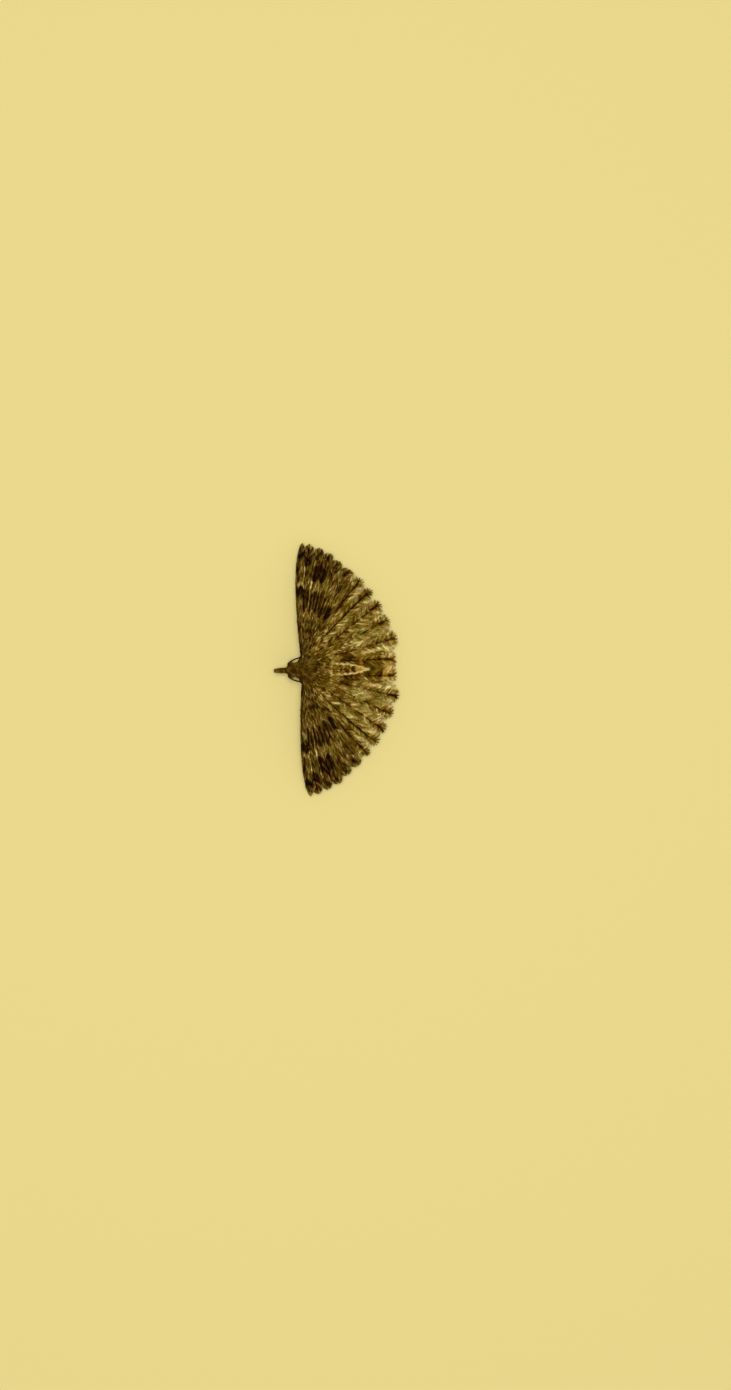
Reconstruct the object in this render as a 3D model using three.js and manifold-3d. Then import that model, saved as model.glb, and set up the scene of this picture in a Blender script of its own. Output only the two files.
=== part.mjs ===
// A twenty-plume moth at rest: the body, and four wings that each spread into a fan of six plumes.
// Millimetres, +Z up. The head points to -Y, the moth's own left is +X and the feet stand on Z = 0.
// While it is built, Y = 0 is the line through the forewing joints; the finished group is moved so
// that its origin lies under the middle of the whole moth.
import * as THREE from 'three';
import { mergeVertices } from 'three/addons/utils/BufferGeometryUtils.js';
import Module from 'manifold-3d';

const wasm = await Module();
wasm.setup();

// ---------------------------------------------------------------- driving dimensions, mm and degrees
const GAP = 0.03;             // parting between two neighbouring pieces
const LIMB_RADIUS = 0.25;     // legs and feelers
const WING_THICKNESS = 0.5;
const SIDES = { left: 1, right: -1 };

// The trunk is one tapering form, parted at the neck and at the waist. The abdomen lies a little to
// the moth's left and on top of the hindwings' inner edges.
const TRUNK = {
  spine: [
    [0, -0.94, 0.93], [0, -0.70, 0.98], [0, -0.46, 1.00], [0, -0.12, 0.98], [0, 0.30, 0.95], [0, 0.66, 0.92],
    [0.03, 1.30, 0.87], [0.06, 2.10, 0.82], [0.095, 2.95, 0.77], [0.12, 3.58, 0.73], [0.135, 3.98, 0.70],
  ],
  wide: [0.16, 0.35, 0.41, 0.57, 0.61, 0.45, 0.42, 0.41, 0.35, 0.25, 0.14],
  high: [0.20, 0.36, 0.37, 0.51, 0.56, 0.46, 0.42, 0.38, 0.31, 0.22, 0.13],
  blunt: 14,
  sides: 14,
  rings: 30,
};
const NECK_Y = -0.46;
const WAIST_Y = 0.64;

const EYE = { x: 0.345, y: -0.665, z: 0.93, radius: 0.19 };

const PALP = {
  spine: [[0.12, -0.72, 0.78], [0.11, -1.00, 0.80], [0.10, -1.32, 0.85], [0.075, -1.65, 0.92]],
  wide: [0.10, 0.09, 0.08, 0.06],
  high: [0.24, 0.25, 0.21, 0.14],
  blunt: 10,
  sides: 8,
  rings: 9,
};

// Each feeler leaves the brow, bends out round the eye and runs on under the front edge of the wing.
const ANTENNA = {
  spine: [
    [0.24, -0.78, 1.16], [0.46, -0.68, 1.12], [0.60, -0.42, 1.02], [0.76, -0.06, 0.84],
    [1.22, 0.17, 0.72], [2.20, 0.23, 0.66], [3.40, 0.24, 0.53], [4.50, 0.22, 0.38],
  ],
  blunt: 22,
  sides: 8,
  rings: 18,
};

// Hip, knee, heel and toe of each leg. The last stretch lies along the ground on its flat.
const FOOT_Z = 0.22;
const LEGS = {
  front: [[0.28, -0.26, 0.44], [0.88, 0.04, 0.25], [1.46, 0.46, FOOT_Z], [2.00, 0.86, FOOT_Z]],
  middle: [[0.30, 0.29, 0.42], [1.10, 0.92, 0.40], [1.86, 1.58, FOOT_Z], [2.50, 2.12, FOOT_Z]],
  hind: [[0.28, 0.92, 0.38], [0.74, 1.84, 0.42], [1.16, 3.10, FOOT_Z], [1.46, 4.10, FOOT_Z]],
};
const LEG_FORM = { blunt: 12, sides: 8, rings: 11 };

// A wing is a fan of six plumes. joint is the point that angles and lengths are measured from, and
// root the stretch of the thorax's side that the wing grows from. Angles are behind the line that
// points straight out to the side: the front edge, the six plumes from front to back, the rear edge.
// stations are the places across one plume, from 0 to 1, where the slab has its lengthwise lines.
const WINGS = {
  forewing: {
    joint: [0.77, 0.00],
    root: [[0.50, -0.02], [0.50, 0.22]],
    fan: {
      left: [1.3, 2.2, 6.2, 11.3, 17.0, 23.5, 30.5, 34.8],
      right: [2.4, 3.2, 7.1, 12.6, 17.4, 23.4, 30.0, 34.3],
    },
    length: [6.78, 6.75, 6.70, 6.55, 6.41, 6.13, 5.95, 5.92],
    rootHeight: 1.15,
    droop: 0.75,
    sink: 0,
    bow: 1.14,
    notch: 0.055,
    lobePower: 3.5,
    stations: [0, 0.12, 0.32, 0.68, 0.88],
  },
  hindwing: {
    joint: [0.59, 0.18],
    root: [[0.50, 0.26], [0.40, 0.80]],
    fan: {
      left: [33.2, 37.4, 45.8, 54.8, 65.4, 77.0, 90.0, 95.2],
      right: [32.8, 37.3, 45.7, 55.4, 66.3, 78.8, 91.6, 97.6],
    },
    length: [5.87, 5.93, 5.78, 5.68, 5.62, 5.68, 5.46, 5.42],
    rootHeight: 1.12,
    droop: 0.72,
    sink: 0.22,
    bow: 0,
    notch: 0.15,
    lobePower: 1.7,
    stations: [0, 0.22, 0.5, 0.78],
  },
};
const PLUMES = 6;
const PLEAT = 0.04;                                  // height of the ridge along each plume's shaft
const WING_ROWS = 7;

const HIDE = { brown: 0x4e3b1c, umber: 0x3c2b12, olive: 0x7a6632, ochre: 0x9a8344, eye: 0x2a2118 };

// ------------------------------------------------------------------------------- solids from geometry
// A closed three.js geometry as a solid that can be cut and joined.
function toSolid(geometry) {
  geometry.deleteAttribute('normal');
  geometry.deleteAttribute('uv');
  const merged = mergeVertices(geometry, 1e-4);
  return new wasm.Manifold(new wasm.Mesh({
    numProp: 3,
    vertProperties: merged.attributes.position.array,
    triVerts: new Uint32Array(merged.index.array),
  }));
}

function toMesh(name, solid, color, roughness) {
  const cut = solid.getMesh();
  const geometry = new THREE.BufferGeometry();
  geometry.setAttribute('position', new THREE.BufferAttribute(cut.vertProperties, 3));
  geometry.setIndex(new THREE.BufferAttribute(cut.triVerts, 1));
  geometry.computeVertexNormals();
  const material = new THREE.MeshStandardMaterial({ color, roughness, metalness: 0 });
  const mesh = new THREE.Mesh(geometry, material);
  mesh.name = name;
  return mesh;
}

// Moves every vertex of a geometry by a function of its place.
function warp(geometry, place) {
  const position = geometry.attributes.position;
  const vertex = new THREE.Vector3();
  for (let i = 0; i < position.count; i += 1) {
    vertex.fromBufferAttribute(position, i);
    position.setXYZ(i, ...place(vertex).toArray());
  }
  return geometry;
}

// A box between two corners.
function block(low, high) {
  const size = high.map((value, axis) => value - low[axis]);
  const geometry = new THREE.BoxGeometry(...size);
  return toSolid(geometry.translate(...low.map((value, axis) => value + size[axis] / 2)));
}

// A round-ended form drawn along a curved spine: a sphere whose latitudes become sections, each an
// oval of half-width `wide` and half-height `high`. side = -1 puts its spine on the moth's right,
// and grow makes every section larger all round, to cut room for the form out of a neighbour.
function limb({ spine, wide, high, blunt, sides, rings }, side = 1, grow = 0) {
  const path = new THREE.CatmullRomCurve3(spine.map(([x, y, z]) => new THREE.Vector3(x * side, y, z)));
  const sections = new THREE.CatmullRomCurve3(spine.map((point, i) => new THREE.Vector3(
    wide ? wide[i] : LIMB_RADIUS, high ? high[i] : LIMB_RADIUS, i)));
  const up = new THREE.Vector3(0, 0, 1);
  return toSolid(warp(new THREE.SphereGeometry(1, sides, rings), (vertex) => {
    const t = THREE.MathUtils.clamp((1 - vertex.y) / 2, 0, 1);
    const ring = Math.hypot(vertex.x, vertex.z);
    const taper = Math.sqrt(Math.max(0, 1 - Math.abs(2 * t - 1) ** blunt));
    const section = sections.getPoint(t);
    const tangent = path.getTangent(t);
    const across = new THREE.Vector3().crossVectors(tangent, up).normalize();
    const lift = new THREE.Vector3().crossVectors(across, tangent);
    const point = path.getPoint(t);
    if (ring < 1e-6) return point;
    return point
      .addScaledVector(across, (-vertex.x / ring) * (section.x * taper + grow))
      .addScaledVector(lift, (vertex.z / ring) * (section.y * taper + grow));
  }));
}

// ------------------------------------------------------------------------------------- body and head
const FAR = 20;    // beyond the moth in every direction
const trunkRoom = limb(TRUNK, 1, GAP);
const floor = block([-FAR, -FAR, -FAR], [FAR, FAR, 0]);

// The trunk's length between two values of Y.
function trunkBetween(from, to) {
  return limb(TRUNK).intersect(block([-FAR, from, -FAR], [FAR, to, FAR]));
}

function eye(side, grow = 0) {
  const ball = new THREE.SphereGeometry(EYE.radius + grow, 12, 9);
  return toSolid(ball.translate(EYE.x * side, EYE.y, EYE.z));
}

function palp(side) {
  return limb(PALP, side).subtract(trunkRoom).subtract(eye(side, GAP));
}

function head() {
  const whole = trunkBetween(-FAR, NECK_Y - GAP / 2);
  return whole.subtract(eye(1, GAP)).subtract(eye(-1, GAP));
}

function antenna(side) {
  return limb(ANTENNA, side).subtract(trunkRoom).subtract(eye(side, GAP));
}

// --------------------------------------------------------------------------------------------- legs
// A leg stands clear of the trunk, of the feeler above it and of the legs named in `others`.
function leg(pair, side, others) {
  const rooms = others.map((other) => limb({ spine: LEGS[other], ...LEG_FORM }, side, GAP));
  return [trunkRoom, floor, limb(ANTENNA, side, GAP), ...rooms].reduce(
    (solid, room) => solid.subtract(room),
    limb({ spine: LEGS[pair], ...LEG_FORM }, side),
  );
}

// -------------------------------------------------------------------------------------------- wings
// Reads a list given at the front edge, the middle of each plume and the rear edge, at u plumes.
function alongFan(list, u) {
  const stops = [0, ...Array.from({ length: PLUMES }, (_, i) => i + 0.5), PLUMES];
  const i = Math.min(stops.findIndex((stop, k) => k > 0 && u <= stop), PLUMES + 1);
  return THREE.MathUtils.mapLinear(u, stops[i - 1], stops[i], list[i - 1], list[i]);
}

// The point of a wing's middle surface at u plumes from its front edge and s of the way out.
function wingPoint(wing, sideName, u, s) {
  const angle = THREE.MathUtils.degToRad(alongFan(wing.fan[sideName], u));
  const acrossPlume = Math.abs(2 * (u - Math.floor(Math.min(u, PLUMES - 1e-9))) - 1);
  const length = alongFan(wing.length, u);
  const reach = length * (1 - wing.notch * acrossPlume ** wing.lobePower);
  const share = u / PLUMES;
  const [rootX, rootY] = wing.root[0].map((value, k) => value + (wing.root[1][k] - value) * share);
  const x = THREE.MathUtils.lerp(rootX, wing.joint[0] + reach * Math.cos(angle), s);
  const y = THREE.MathUtils.lerp(rootY, wing.joint[1] + reach * Math.sin(angle), s);
  const out = s * reach / length;
  const bow = wing.bow * out ** 1.2 * Math.max(0, 1 - out) ** 0.6 * (1 - share) ** 2;
  const ridge = PLEAT * Math.cos(Math.PI * acrossPlume) * Math.min(1, 3 * s);
  const fall = wing.droop * out ** 2 + wing.sink * share ** 6 * Math.min(1, 2.2 * out);
  return new THREE.Vector3(x * SIDES[sideName], y - bow, wing.rootHeight - fall + ridge);
}

// A wing as one slab, from a box whose first axis runs across the plumes, from the rear edge to the
// front one on the left side, and whose second axis runs along them.
function wing(name, sideName) {
  const form = WINGS[name];
  const side = SIDES[sideName];
  const perPlume = form.stations.length;
  const columns = PLUMES * perPlume;
  const slab = warp(new THREE.BoxGeometry(1, 1, 1, columns, WING_ROWS, 1), (vertex) => {
    const column = Math.round((0.5 - vertex.x * side) * columns);
    const u = Math.floor(column / perPlume) + form.stations[column % perPlume];
    const point = wingPoint(form, sideName, u, vertex.y + 0.5);
    point.z += vertex.z * WING_THICKNESS;
    return point;
  });
  return toSolid(slab).subtract(trunkRoom).subtract(limb(ANTENNA, side, GAP));
}

// ----------------------------------------------------------------------------------------- assembly
const moth = new THREE.Group();
moth.add(toMesh('head', head(), HIDE.umber, 0.85));
moth.add(toMesh('thorax', trunkBetween(NECK_Y + GAP / 2, WAIST_Y - GAP / 2), HIDE.brown, 0.85));
moth.add(toMesh('abdomen', trunkBetween(WAIST_Y + GAP / 2, FAR), HIDE.olive, 0.8));
for (const [sideName, side] of Object.entries(SIDES)) {
  moth.add(toMesh(`eye_${sideName}`, eye(side), HIDE.eye, 0.25));
  moth.add(toMesh(`palp_${sideName}`, palp(side), HIDE.olive, 0.85));
  moth.add(toMesh(`antenna_${sideName}`, antenna(side), HIDE.umber, 0.7));
  moth.add(toMesh(`leg_front_${sideName}`, leg('front', side, []), HIDE.brown, 0.75));
  moth.add(toMesh(`leg_middle_${sideName}`, leg('middle', side, ['front']), HIDE.brown, 0.75));
  moth.add(toMesh(`leg_hind_${sideName}`, leg('hind', side, ['middle']), HIDE.brown, 0.75));
  moth.add(toMesh(`forewing_${sideName}`, wing('forewing', sideName), HIDE.brown, 0.85));
  moth.add(toMesh(`hindwing_${sideName}`, wing('hindwing', sideName), HIDE.ochre, 0.85));
}

const extent = new THREE.Box3().setFromObject(moth);
const middle = extent.getCenter(new THREE.Vector3());
moth.position.set(-middle.x, -middle.y, -extent.min.z);

export default moth;
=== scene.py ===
"""A twenty-plume moth at rest, at life size.

The trunk, palps, feelers and legs are one skin under a coat of scales. Each wing is a fan of six
plumes: a shaft of skin for each, and a coat of bristles and scales. Lengths are in millimetres
until a mesh is made, and Y = 0 is the line through the forewing joints, the head towards -Y.
"""

from __future__ import annotations

import logging
from dataclasses import dataclass
from enum import Enum
from typing import Any, Callable, Sequence

import bpy
import numpy as np
from mathutils import Matrix, Vector


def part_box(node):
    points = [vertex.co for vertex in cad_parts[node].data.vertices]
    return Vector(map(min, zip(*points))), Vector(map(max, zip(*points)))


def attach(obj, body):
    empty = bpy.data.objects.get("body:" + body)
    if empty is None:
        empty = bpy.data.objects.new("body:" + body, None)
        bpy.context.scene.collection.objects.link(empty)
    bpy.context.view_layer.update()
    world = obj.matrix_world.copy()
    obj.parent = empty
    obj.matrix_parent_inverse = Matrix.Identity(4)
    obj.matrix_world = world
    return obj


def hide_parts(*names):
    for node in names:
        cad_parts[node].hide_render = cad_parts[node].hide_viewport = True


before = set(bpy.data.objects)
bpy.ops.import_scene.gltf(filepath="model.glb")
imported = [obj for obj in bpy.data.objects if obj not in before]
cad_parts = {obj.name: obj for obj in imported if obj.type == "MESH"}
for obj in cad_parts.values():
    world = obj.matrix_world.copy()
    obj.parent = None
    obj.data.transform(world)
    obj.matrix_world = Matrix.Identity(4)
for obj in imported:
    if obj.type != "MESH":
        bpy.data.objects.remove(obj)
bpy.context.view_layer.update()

MM = 0.001
PALP_TIP_Y = -1.65
# the moth's own place, in millimetres, of the frame's origin
ORIGIN = np.array([0.0, PALP_TIP_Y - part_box("palp_left")[0].y / MM, 0.0])
PLUMES = 6

Array = np.ndarray

log = logging.getLogger("moth")


class Side(Enum):
    """The moth's own sides, by the sign of X."""

    LEFT = 1
    RIGHT = -1

    @property
    def word(self) -> str:
        """The side's name as the frame's nodes spell it."""
        return self.name.lower()

    def turned(self, angle: Array) -> Array:
        """An angle round the trunk, from one that is given for the left side."""
        return angle if self is Side.LEFT else np.pi - angle


# ---------------------------------------- numpy helpers


def unit(vectors: Array) -> Array:
    """Scales each row of an array of vectors to length 1."""
    return vectors / np.maximum(np.linalg.norm(vectors, axis=-1, keepdims=True), 1e-12)


def spline(points: Sequence[Sequence[float]], t: Array) -> Array:
    """Reads a smooth curve through points.

    Each stretch is a cubic whose slope at a point is half the way from the point before it to the
    point after it (a uniform Catmull-Rom curve).

    Args:
        points: The points, or rows of any other numbers, evenly spaced in t.
        t: Where to read the curve, from 0 at the first point to 1 at the last.

    Returns:
        One row for each t.
    """
    rows = np.asarray(points, float)
    padded = np.vstack([2 * rows[0] - rows[1], rows, 2 * rows[-1] - rows[-2]])
    place = np.clip(np.asarray(t, float), 0, 1) * (len(rows) - 1)
    cell = np.minimum(place.astype(int), len(rows) - 2)
    f = (place - cell)[..., None]
    a, b, c, d = (padded[cell + k] for k in range(4))
    return 0.5 * (2 * b + (c - a) * f + (2 * a - 5 * b + 4 * c - d) * f**2 + (3 * b - a - 3 * c + d) * f**3)


def smooth_rise(x: Array, low: float, high: float) -> Array:
    """Rises from 0 at low to 1 at high with level ends: 3t^2 - 2t^3."""
    t = np.clip((x - low) / (high - low), 0, 1)
    return t * t * (3 - 2 * t)


def spread(rng: np.random.Generator, count: int) -> Array:
    """Places from 0 to 1, one at random in each of count even steps."""
    return (np.arange(count) + rng.random(count)) / count


def inset(share: Array) -> Array:
    """Keeps a share, 0 to 1, off the very edges of a baking map."""
    return 0.01 + 0.98 * share


def new_piece(name: str, points: Array, faces: Sequence[Array], finish: "Finish") -> bpy.types.Object:
    """Makes an object from numpy arrays.

    Args:
        name: The piece's name.
        points: Its vertices in millimetres.
        faces: Arrays of vertex numbers, one row for each face; each array has faces of one size.
        finish: What its surface looks like.

    Returns:
        The object, at the origin, with its place in its mesh.
    """
    mesh = bpy.data.meshes.new(name)
    corners = np.concatenate([f.ravel() for f in faces]).astype(np.int32)
    sizes = np.concatenate([np.full(len(f), f.shape[1], np.int32) for f in faces])
    starts = np.concatenate([[0], np.cumsum(sizes)[:-1]]).astype(np.int32)
    mesh.vertices.add(len(points))
    mesh.vertices.foreach_set("co", ((points - ORIGIN) * MM).astype(np.float32).ravel())
    mesh.loops.add(len(corners))
    mesh.loops.foreach_set("vertex_index", corners)
    mesh.polygons.add(len(sizes))
    mesh.polygons.foreach_set("loop_start", starts)
    mesh.polygons.foreach_set("use_smooth", np.ones(len(sizes), bool))
    mesh.update(calc_edges=True)
    mesh.materials.append(finish.material())
    piece = bpy.data.objects.new(name, mesh)
    bpy.context.scene.collection.objects.link(piece)
    return piece


def add_attributes(piece: bpy.types.Object, values: dict[str, Array]) -> None:
    """Stores one number for each vertex under each name."""
    for name, numbers in values.items():
        attribute = piece.data.attributes.new(name, "FLOAT", "POINT")
        attribute.data.foreach_set("value", np.asarray(numbers, np.float32).ravel())


def place_in_frame(piece: bpy.types.Object, slot: str, *nodes: str) -> None:
    """Fixes a finished piece to the frame.

    Args:
        piece: The piece.
        slot: A material slot's name; not used.
        nodes: The frame's nodes that it stands for.
    """
    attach(piece, "root")
    if nodes:
        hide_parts(*nodes)
    log.info("%s: %d triangles", piece.name, len(piece.data.loops) - 2 * len(piece.data.polygons))


# ---------------------------------------- shaders


class Num:
    """A number in a shader: a socket whose arithmetic adds Math nodes."""

    def __init__(self, shader: "Shader", socket: Any) -> None:
        """Wraps a socket of that shader."""
        self.shader = shader
        self.socket = socket

    def __add__(self, other: Any) -> "Num":
        """self + other."""
        return self.shader.math("ADD", self, other)

    __radd__ = __add__

    def __sub__(self, other: Any) -> "Num":
        """self - other."""
        return self.shader.math("SUBTRACT", self, other)

    def __rsub__(self, other: Any) -> "Num":
        """other - self."""
        return self.shader.math("SUBTRACT", other, self)

    def __mul__(self, other: Any) -> "Num":
        """self * other."""
        return self.shader.math("MULTIPLY", self, other)

    __rmul__ = __mul__


class Shader:
    """Builds the node tree of one material, or of the surroundings."""

    def __init__(self, name: str, world: bpy.types.World | None = None) -> None:
        """Starts an empty tree, in a new material if no world is given."""
        self.material = world or bpy.data.materials.new(name)
        self.material.use_nodes = True
        self.tree = self.material.node_tree
        self.tree.nodes.clear()

    def node(self, kind: str, settings: dict[str, Any] | None = None,
             inputs: dict[Any, Any] | None = None) -> bpy.types.Node:
        """Adds a node.

        Args:
            kind: Its type, without the leading "ShaderNode".
            settings: Its properties; "stops" gives a ramp's places and colours.
            inputs: The values or links of its sockets, by name or number.

        Returns:
            The node.
        """
        node = self.tree.nodes.new("ShaderNode" + kind)
        for key, value in (settings or {}).items():
            if key == "stops":
                ramp = node.color_ramp.elements
                while len(ramp) < len(value):
                    ramp.new(1.0)
                for element, (place, colour) in zip(ramp, value):
                    element.position = place
                    element.color = (*colour, 1.0)
            else:
                setattr(node, key, value)
        for key, value in (inputs or {}).items():
            socket = node.inputs[key]
            if isinstance(value, Num):
                value = value.socket
            if isinstance(value, bpy.types.NodeSocket):
                self.tree.links.new(value, socket)
            else:
                socket.default_value = value
        return node

    def math(self, operation: str, a: Any, b: Any = 0.0) -> Num:
        """One Math node of two numbers."""
        return Num(self, self.node("Math", {"operation": operation}, {0: a, 1: b}).outputs[0])

    def attribute(self, name: str) -> Num:
        """A number stored on the piece's vertices."""
        return Num(self, self.node("Attribute", {"attribute_name": name}).outputs["Fac"])

    def rise(self, x: Any, at: float, soft: float) -> Num:
        """0 below at, 1 above it, with a smooth step of half-width soft."""
        node = self.node("MapRange", {"interpolation_type": "SMOOTHSTEP"},
                         {"Value": x, "From Min": at - soft, "From Max": at + soft})
        return Num(self, node.outputs["Result"])

    def window(self, x: Any, low: float, high: float, soft: float) -> Num:
        """1 between low and high, 0 outside, with soft edges."""
        return self.rise(x, low, soft) * (1 - self.rise(x, high, soft))

    def place(self, stretch: tuple[float, float, float] = (1, 1, 1)) -> Any:
        """The surface's own place in millimetres, stretched along X, Y and Z."""
        here = self.node("TexCoord").outputs["Object"]
        scale = tuple(k / MM for k in stretch)
        return self.node("VectorMath", {"operation": "MULTIPLY"}, {0: here, 1: scale}).outputs[0]

    def vector(self, x: Any, y: Any, z: Any) -> Any:
        """A vector of three numbers."""
        return self.node("CombineXYZ", None, {0: x, 1: y, 2: z}).outputs[0]

    def noise(self, vector: Any, scale: float, detail: float = 2.0) -> Num:
        """Soft noise from 0 to 1, with scale cells to one unit of the vector."""
        node = self.node("TexNoise", None, {"Vector": vector, "Scale": scale, "Detail": detail})
        return Num(self, node.outputs[0])

    def ramp(self, value: Any, stops: Sequence[tuple[float, tuple[float, float, float]]]) -> Any:
        """A colour for each value from 0 to 1."""
        return self.node("ValToRGB", {"stops": stops}, {"Fac": value}).outputs["Color"]

    def mix(self, factor: Any, a: Any, b: Any) -> Any:
        """Colour a where factor is 0 and b where it is 1."""
        node = self.node("Mix", {"data_type": "RGBA"}, {0: factor})
        for number, colour in ((6, a), (7, b)):
            if isinstance(colour, bpy.types.NodeSocket):
                self.tree.links.new(colour, node.inputs[number])
            else:
                node.inputs[number].default_value = (*colour, 1.0)
        return node.outputs[2]

    def tinge(self, vector: Any, colour: Any, amount: float, saturation: Any = 1.0) -> Any:
        """Turns a colour's hue to rust in some patches and to olive in others, by soft noise."""
        hue = (self.noise(vector, 1.0) - 0.5) * amount + 0.5
        inputs = {"Hue": hue, "Saturation": saturation, "Color": colour}
        return self.node("HueSaturation", None, inputs).outputs[0]

    def finish(self, colour: Any, roughness: Any, bump: Any = None, depth: float = 0.0,
               **constants: Any) -> bpy.types.Material:
        """Ends the tree in a Principled shader.

        Args:
            colour: The base colour.
            roughness: A number or a socket.
            bump: The height that a Bump node reads, or None.
            depth: The bump's depth in millimetres.
            constants: Other sockets of the shader that are the same all over.

        Returns:
            The material.
        """
        if isinstance(colour, tuple):
            colour = (*colour, 1.0)
        shader = self.node("BsdfPrincipled", None, {"Base Color": colour, "Roughness": roughness})
        for name, value in constants.items():
            shader.inputs[name.replace("_", " ")].default_value = value
        if bump is not None:
            relief = self.node("Bump", None, {"Height": bump, "Distance": depth * MM, "Strength": 1.0})
            self.tree.links.new(relief.outputs[0], shader.inputs["Normal"])
        end = self.node("OutputMaterial")
        self.tree.links.new(shader.outputs[0], end.inputs["Surface"])
        return self.material


class Finish:
    """A surface finish, made into one material the first time it is used."""

    _made: dict[str, bpy.types.Material] = {}

    def build(self) -> bpy.types.Material:
        """Builds the material."""
        raise NotImplementedError

    def material(self) -> bpy.types.Material:
        """The finish's material, shared by all its pieces."""
        name = type(self).__name__
        if name not in self._made:
            self._made[name] = self.build()
        return self._made[name]


SCALE_TONES = (
    (0.00, (0.012, 0.0035, 0.0003)),
    (0.20, (0.058, 0.0270, 0.0016)),
    (0.40, (0.146, 0.0910, 0.0105)),
    (0.60, (0.290, 0.2080, 0.0490)),
    (0.80, (0.510, 0.4050, 0.1550)),
    (1.00, (0.880, 0.8000, 0.4800)),
)
# golden hue of the scales by the abdomen; on the palest ones it is partly their own colour and partly a
# painted golden sheen of the light
GOLD_AND_PAINTED_SHEEN = (0.72, 0.42, 0.07)


@dataclass(frozen=True)
class Mark:
    """One dark or pale mark on the wings.

    Attributes:
        name: What it is.
        plumes: Where it starts and ends across the plumes, 0 to 6 on a forewing and 6 to 12 behind.
        reach: Where it starts and ends along them, in mm from the wing joint, at its first plume.
        tone: How much lighter it is than the ground; below 0 it is darker.
        soft: Half-width of its edges, in plumes.
        lines: How much of it goes in stripes along the plumes, two to a plume.
    """

    name: str
    plumes: tuple[float, float]
    reach: tuple[float, float]
    tone: float
    soft: float = 0.16
    lines: float = 0.0


MARKS = (
    # painted shadow: the shadow of the thorax and the wing base darkens the root of the front edge
    Mark("dark root of the front edge", (-1.0, 1.5), (-1.0, 1.1), -0.16),
    Mark("dark front edge", (-1.0, 0.45), (-1.0, 3.5), -0.10, 0.12),
    Mark("dark spot inside the front edge", (0.4, 1.1), (1.72, 2.06), -0.20),
    Mark("dark base by the thorax", (-1.0, 6.0), (-1.0, 0.75), -0.07),
    Mark("shade inside the forewing", (2.5, 4.6), (1.05, 2.25), -0.10),
    Mark("pale inner band", (1.4, 3.0), (2.36, 2.80), 0.24),
    Mark("rear end of the inner band", (3.2, 5.0), (2.32, 2.62), 0.17),
    Mark("middle band at the front edge", (-1.0, 1.35), (3.58, 4.12), -0.36),
    Mark("pale blotch before it", (0.4, 1.4), (3.02, 3.38), 0.16),
    Mark("rear end of that band", (1.3, 2.0), (3.86, 4.14), -0.20),
    Mark("middle band", (1.2, 5.0), (2.86, 3.78), -0.30, 0.16, 0.80),
    Mark("inner corner of the middle band", (4.0, 5.1), (2.62, 2.96), -0.20),
    Mark("outer rim of the middle band", (1.8, 4.0), (3.64, 3.84), -0.12),
    Mark("light behind the middle band", (4.0, 6.1), (3.20, 3.90), 0.09),
    Mark("streak at the rear edge", (5.26, 5.86), (2.58, 3.36), -0.46, 0.10),
    Mark("ochre band", (1.9, 5.5), (3.92, 4.44), 0.15),
    Mark("pale blotches behind the front edge", (0.6, 1.6), (4.10, 4.44), 0.26),
    Mark("dark rear edge", (5.4, 6.1), (4.16, 4.74), -0.10),
    Mark("second spot at the front edge", (-1.0, 0.6), (4.86, 5.30), -0.40),
    Mark("outer patch", (2.15, 3.85), (4.54, 5.40), -0.34, 0.16, 0.35),
    Mark("brown outer part", (0.6, 4.4), (4.54, 6.4), -0.05),
    Mark("light behind the outer patch", (4.3, 5.6), (4.80, 5.30), 0.09),
    Mark("pale outer spot", (0.8, 1.6), (5.00, 5.32), 0.15),
    Mark("third spot at the front edge", (-1.0, 1.15), (5.72, 6.10), -0.38),
    Mark("rear end of the third spot", (1.2, 1.95), (5.34, 5.88), -0.30),
    Mark("cream line between the second and third plumes", (2.20, 2.38), (2.9, 5.8), 0.22, 0.05),
    Mark("bright stretch of that line", (2.20, 2.38), (3.7, 4.5), 0.16, 0.05),
    Mark("faint cream line along the second plume", (1.30, 1.44), (4.5, 5.4), 0.22, 0.05),
    Mark("dark root of the hindwing", (6.0, 13.0), (-1.0, 1.0), -0.10),
    Mark("dark front of the hindwing", (6.0, 6.6), (1.5, 2.7), -0.12, 0.12),
    Mark("darker first hind plume", (6.0, 6.7), (2.7, 4.9), -0.21, 0.12),
    Mark("dark shaft of the second hind plume", (7.42, 7.58), (1.3, 4.9), -0.24, 0.04),
    Mark("light beside it", (7.6, 8.0), (2.6, 3.1), 0.18),
    Mark("shade on the third hind plume", (8.05, 8.45), (3.25, 3.90), -0.16),
    Mark("shade at that plume's end", (8.05, 8.45), (4.75, 5.70), -0.12),
    Mark("shade inside the hindwing", (8.4, 9.4), (-1.0, 2.9), -0.14),
    Mark("root of the last plumes", (10.4, 11.6), (-1.0, 1.0), -0.20),
    Mark("dark blotch by the body", (10.4, 11.5), (1.75, 2.40), -0.30),
    Mark("middle hindwing band", (6.5, 7.5), (3.70, 4.20), -0.14),
    Mark("pale inner hindwing band", (9.4, 10.5), (2.30, 3.10), 0.17),
    Mark("pale spots in the middle hindwing", (8.4, 9.4), (3.0, 3.3), 0.10),
    Mark("pale outer hindwing band", (8.4, 9.0), (3.86, 4.14), 0.18),
    Mark("cream fleck of the fourth plume", (9.05, 9.28), (3.45, 3.85), 0.30, 0.06),
    Mark("cream fleck of the fifth plume", (9.95, 10.25), (2.75, 3.25), 0.26, 0.06),
    Mark("cream line before the last plume", (10.75, 10.98), (3.0, 4.8), 0.30, 0.06),
    Mark("shade inside the last plume", (11.0, 12.2), (1.8, 3.40), -0.10),
    Mark("dark last plume", (11.05, 13.0), (3.40, 4.40), -0.11),
    Mark("dark inner vane of the last plume", (11.58, 13.0), (3.0, 4.4), -0.16),
    Mark("pale end of the last plume", (11.05, 13.0), (4.50, 5.8), 0.13, 0.40),
    Mark("pale rim of the last plume", (10.9, 11.3), (4.3, 5.2), 0.20),
)


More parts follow.
